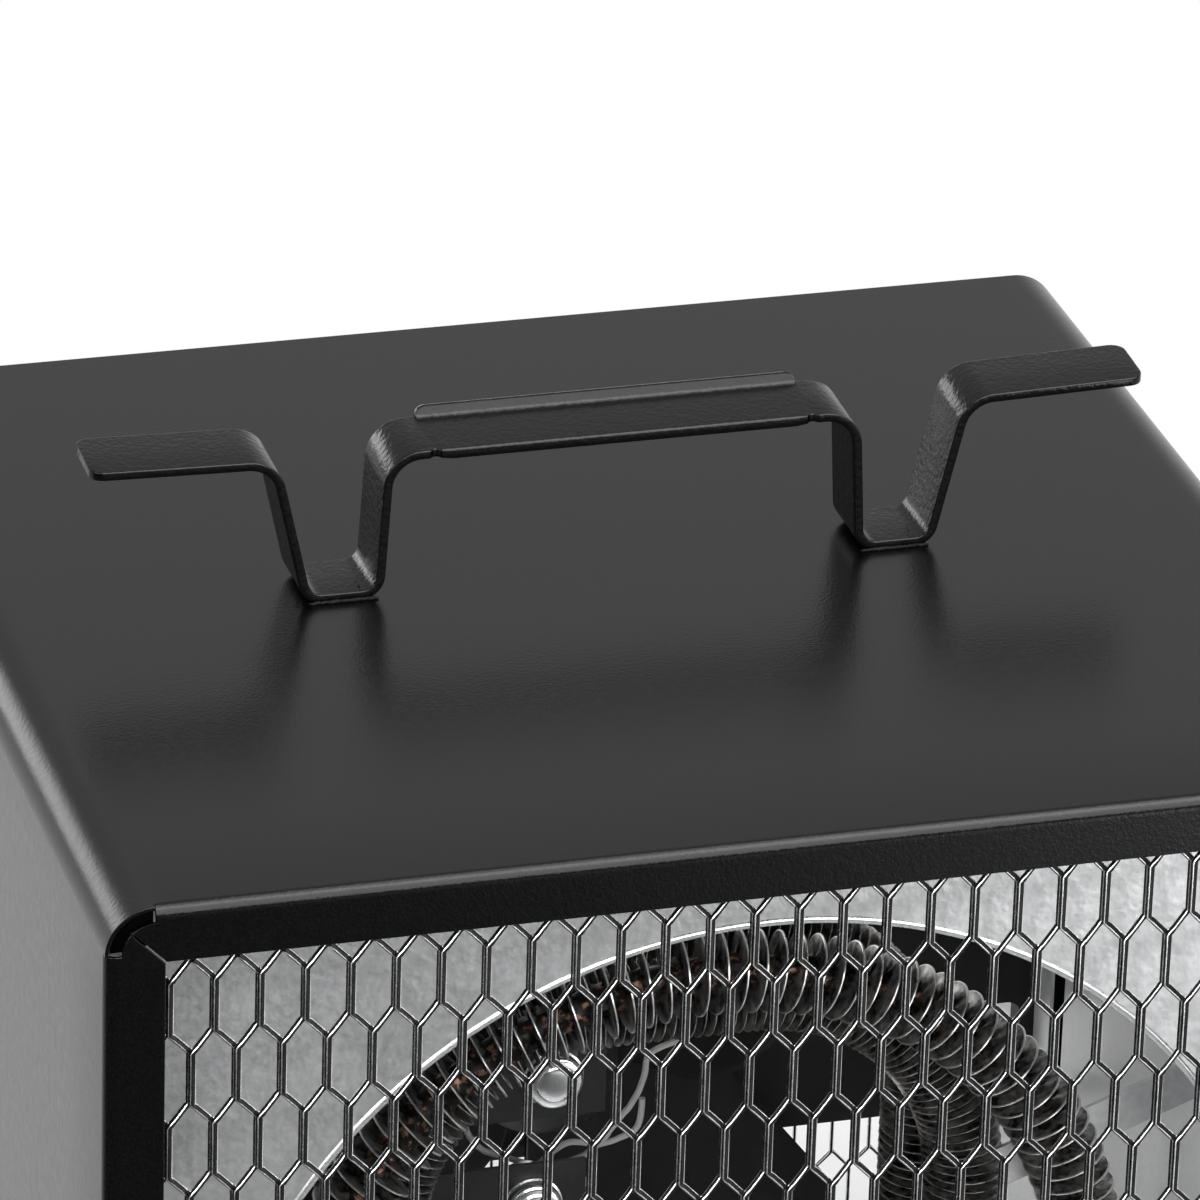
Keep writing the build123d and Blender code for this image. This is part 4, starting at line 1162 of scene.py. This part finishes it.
# low bead round the baffle's opening: the profile holds (beyond the radius, behind the plate's front) points
opening = {
    "radius": 137.0,
    "front": -131.5,
    "axis": 201.0,
    "sides": 180,
    "profile": [
        (1.88, 0.05), (1.33, -0.6), (1.18, -0.62), (0.13, -0.1), (-0.06, 0.01), (-0.12, 0.25), (-0.12, 2.6),
        (0.0, 2.6), (0.0, 0.75),
    ],
}


def openingRim(o):
    shape = newShape()
    profile = [(o["radius"] + beyond, o["front"] + behind) for beyond, behind in o["profile"]]
    addTurned(shape, profile, 0, o["axis"], o["sides"], closed=True)
    return shape


makePiece("opening_rim", openingRim(opening), "heater", [rimSteel], smooth=60)
print("opening rim made")


# plain studio: pale floor that runs out to white, soft lamps, a world that is dark towards the front left
studio = {
    "floorRadius": 5.0,
    "floorSides": 96,
    "fade": (0.25, 0.45),
    "floorColor": 0.8,
    "floorMottle": 0.01,
    "frontGlow": 0.14,
    "glowBehind": (-0.2, 0.15),
    "glowRight": (0.1, 0.34),
    "horizon": 1.0,
    "middle": 0.8,
    "overhead": 0.9,
    "lowBand": (0.05, 0.3),
    "highBand": (0.52, 0.8),
    "front": 0.04,
    "frontBand": (-0.95, -0.4),
    "rightBand": (0.45, 0.75),
    "ambient": 0.4,
    "noHighlight": ["lampFront", "lampFrontLeft"],
    "onlyHighlight": ["cardTop", "cardLeft"],
}
lamps = {
    "lampTop": {"place": (0.4, -0.35, 1.75), "target": (0, -0.1, 0.35), "size": (1.2, 1.0), "power": 16},
    "lampRight": {"place": (0.54, -0.82, 0.14), "target": (0.05, -0.13, 0.2), "size": (0.4, 0.26), "power": 1.7},
    "lampBackLeft": {"place": (-1.1, 1.9, 0.7), "target": (0, 0, 0.3), "size": (0.8, 0.7), "power": 8},
    "cardTop": {"place": (0.42, -1.05, 1.35), "target": (0, -0.15, 0.37), "size": (2.2, 1.8), "power": 75},
    "cardLeft": {"place": (-1.07, -0.79, 1.04), "target": (-0.16, -0.15, 0.36), "size": (0.7, 0.6), "power": 11},
    "lampFront": {"place": (0.42, -1.55, 0.74), "target": (0, 0, 0.3), "size": (0.9, 0.5), "power": 9},
    "lampFrontLeft": {"place": (-0.85, -0.95, 0.6), "target": (0.1, 0, 0.2), "size": (0.8, 0.8), "power": 18},
}


def studioFloor(look):
    r, sides = look["floorRadius"], look["floorSides"]
    mesh = bpy.data.meshes.new("studioFloor")
    mesh.from_pydata([(r * near, r * up, 0) for near, up in spokes(sides)], [], [tuple(range(sides))])
    floor = bpy.data.objects.new("studioFloor", mesh)
    scene.collection.objects.link(floor)
    material, tree, place = startFinish("paleFloor", {"Roughness": 0.9, "Specular IOR Level": 0.1})
    shader = tree.nodes["Principled BSDF"]
    c, mottle = look["floorColor"], look["floorMottle"]
    mottled = tint(tree, noise(tree, place, 60, 3), grey(c - mottle), grey(c + mottle))
    tree.links.new(mottled, shader.inputs["Base Color"])
    level = stretched(tree, place, (1, 1, 0))
    distance = addNode(tree, "ShaderNodeVectorMath", {0: level}, operation="LENGTH").outputs["Value"]
    far = spread(tree, distance, 0.0, 1.0, *look["fade"])
    direct, shiny = rayKinds(tree)
    behind = spread(tree, part(tree, place, "Y"), 0.0, 1.0, *look["glowBehind"])
    toRight = spread(tree, part(tree, place, "X"), look["frontGlow"], 1.0, *look["glowRight"])
    level = sums(tree, "MAXIMUM", sums(tree, "MAXIMUM", behind, toRight), direct)
    seen = sums(tree, "MAXIMUM", shiny, direct)
    glow = addNode(tree, "ShaderNodeEmission", {"Color": (1, 1, 1, 1), "Strength": level})
    mix = addNode(tree, "ShaderNodeMixShader", {0: sums(tree, "MULTIPLY", far, seen)})
    tree.links.new(shader.outputs[0], mix.inputs[1])
    tree.links.new(glow.outputs[0], mix.inputs[2])
    tree.links.new(mix.outputs[0], tree.nodes["Material Output"].inputs["Surface"])
    mesh.materials.append(material)


def studioWorld(look):
    world = bpy.data.worlds.new("studio")
    world.use_nodes = True
    scene.world = world
    tree = world.node_tree
    sky = tree.nodes["Background"]
    direction = addNode(tree, "ShaderNodeTexCoord").outputs["Generated"]
    height = part(tree, direction, "Z")
    low = spread(tree, height, look["horizon"] - look["middle"], 0.0, *look["lowBand"])
    high = spread(tree, height, look["middle"], look["overhead"], *look["highBand"])
    lift = sums(tree, "ADD", low, high)
    depth = spread(tree, part(tree, direction, "Y"), look["front"], 1.0, *look["frontBand"])
    toRight = spread(tree, part(tree, direction, "X"), 0.0, 1.0, *look["rightBand"])
    depth = sums(tree, "MAXIMUM", depth, toRight)
    direct, shiny = rayKinds(tree)
    gain = spread(tree, shiny, look["ambient"], 1.0, 0.0, 1.0)
    level = sums(tree, "MULTIPLY", sums(tree, "MULTIPLY", lift, depth), gain)
    tree.links.new(sums(tree, "MAXIMUM", level, direct), sky.inputs["Strength"])
    sky.inputs["Color"].default_value = (1, 1, 1, 1)


def softLamp(name, look):
    lamp = bpy.data.lights.new(name, "AREA")
    lamp.shape = "RECTANGLE"
    lamp.size, lamp.size_y = look["size"]
    lamp.energy = look["power"]
    box = bpy.data.objects.new(name, lamp)
    aim = Vector(look["target"]) - Vector(look["place"])
    box.matrix_world = Matrix.Translation(look["place"]) @ aim.to_track_quat("-Z", "Y").to_matrix().to_4x4()
    box.visible_camera = False
    box.visible_glossy = name not in studio["noHighlight"]
    box.visible_diffuse = name not in studio["onlyHighlight"]
    scene.collection.objects.link(box)


studioFloor(studio)
studioWorld(studio)
for name, look in lamps.items():
    softLamp(name, look)
print("studio lit")

print("scene ready")
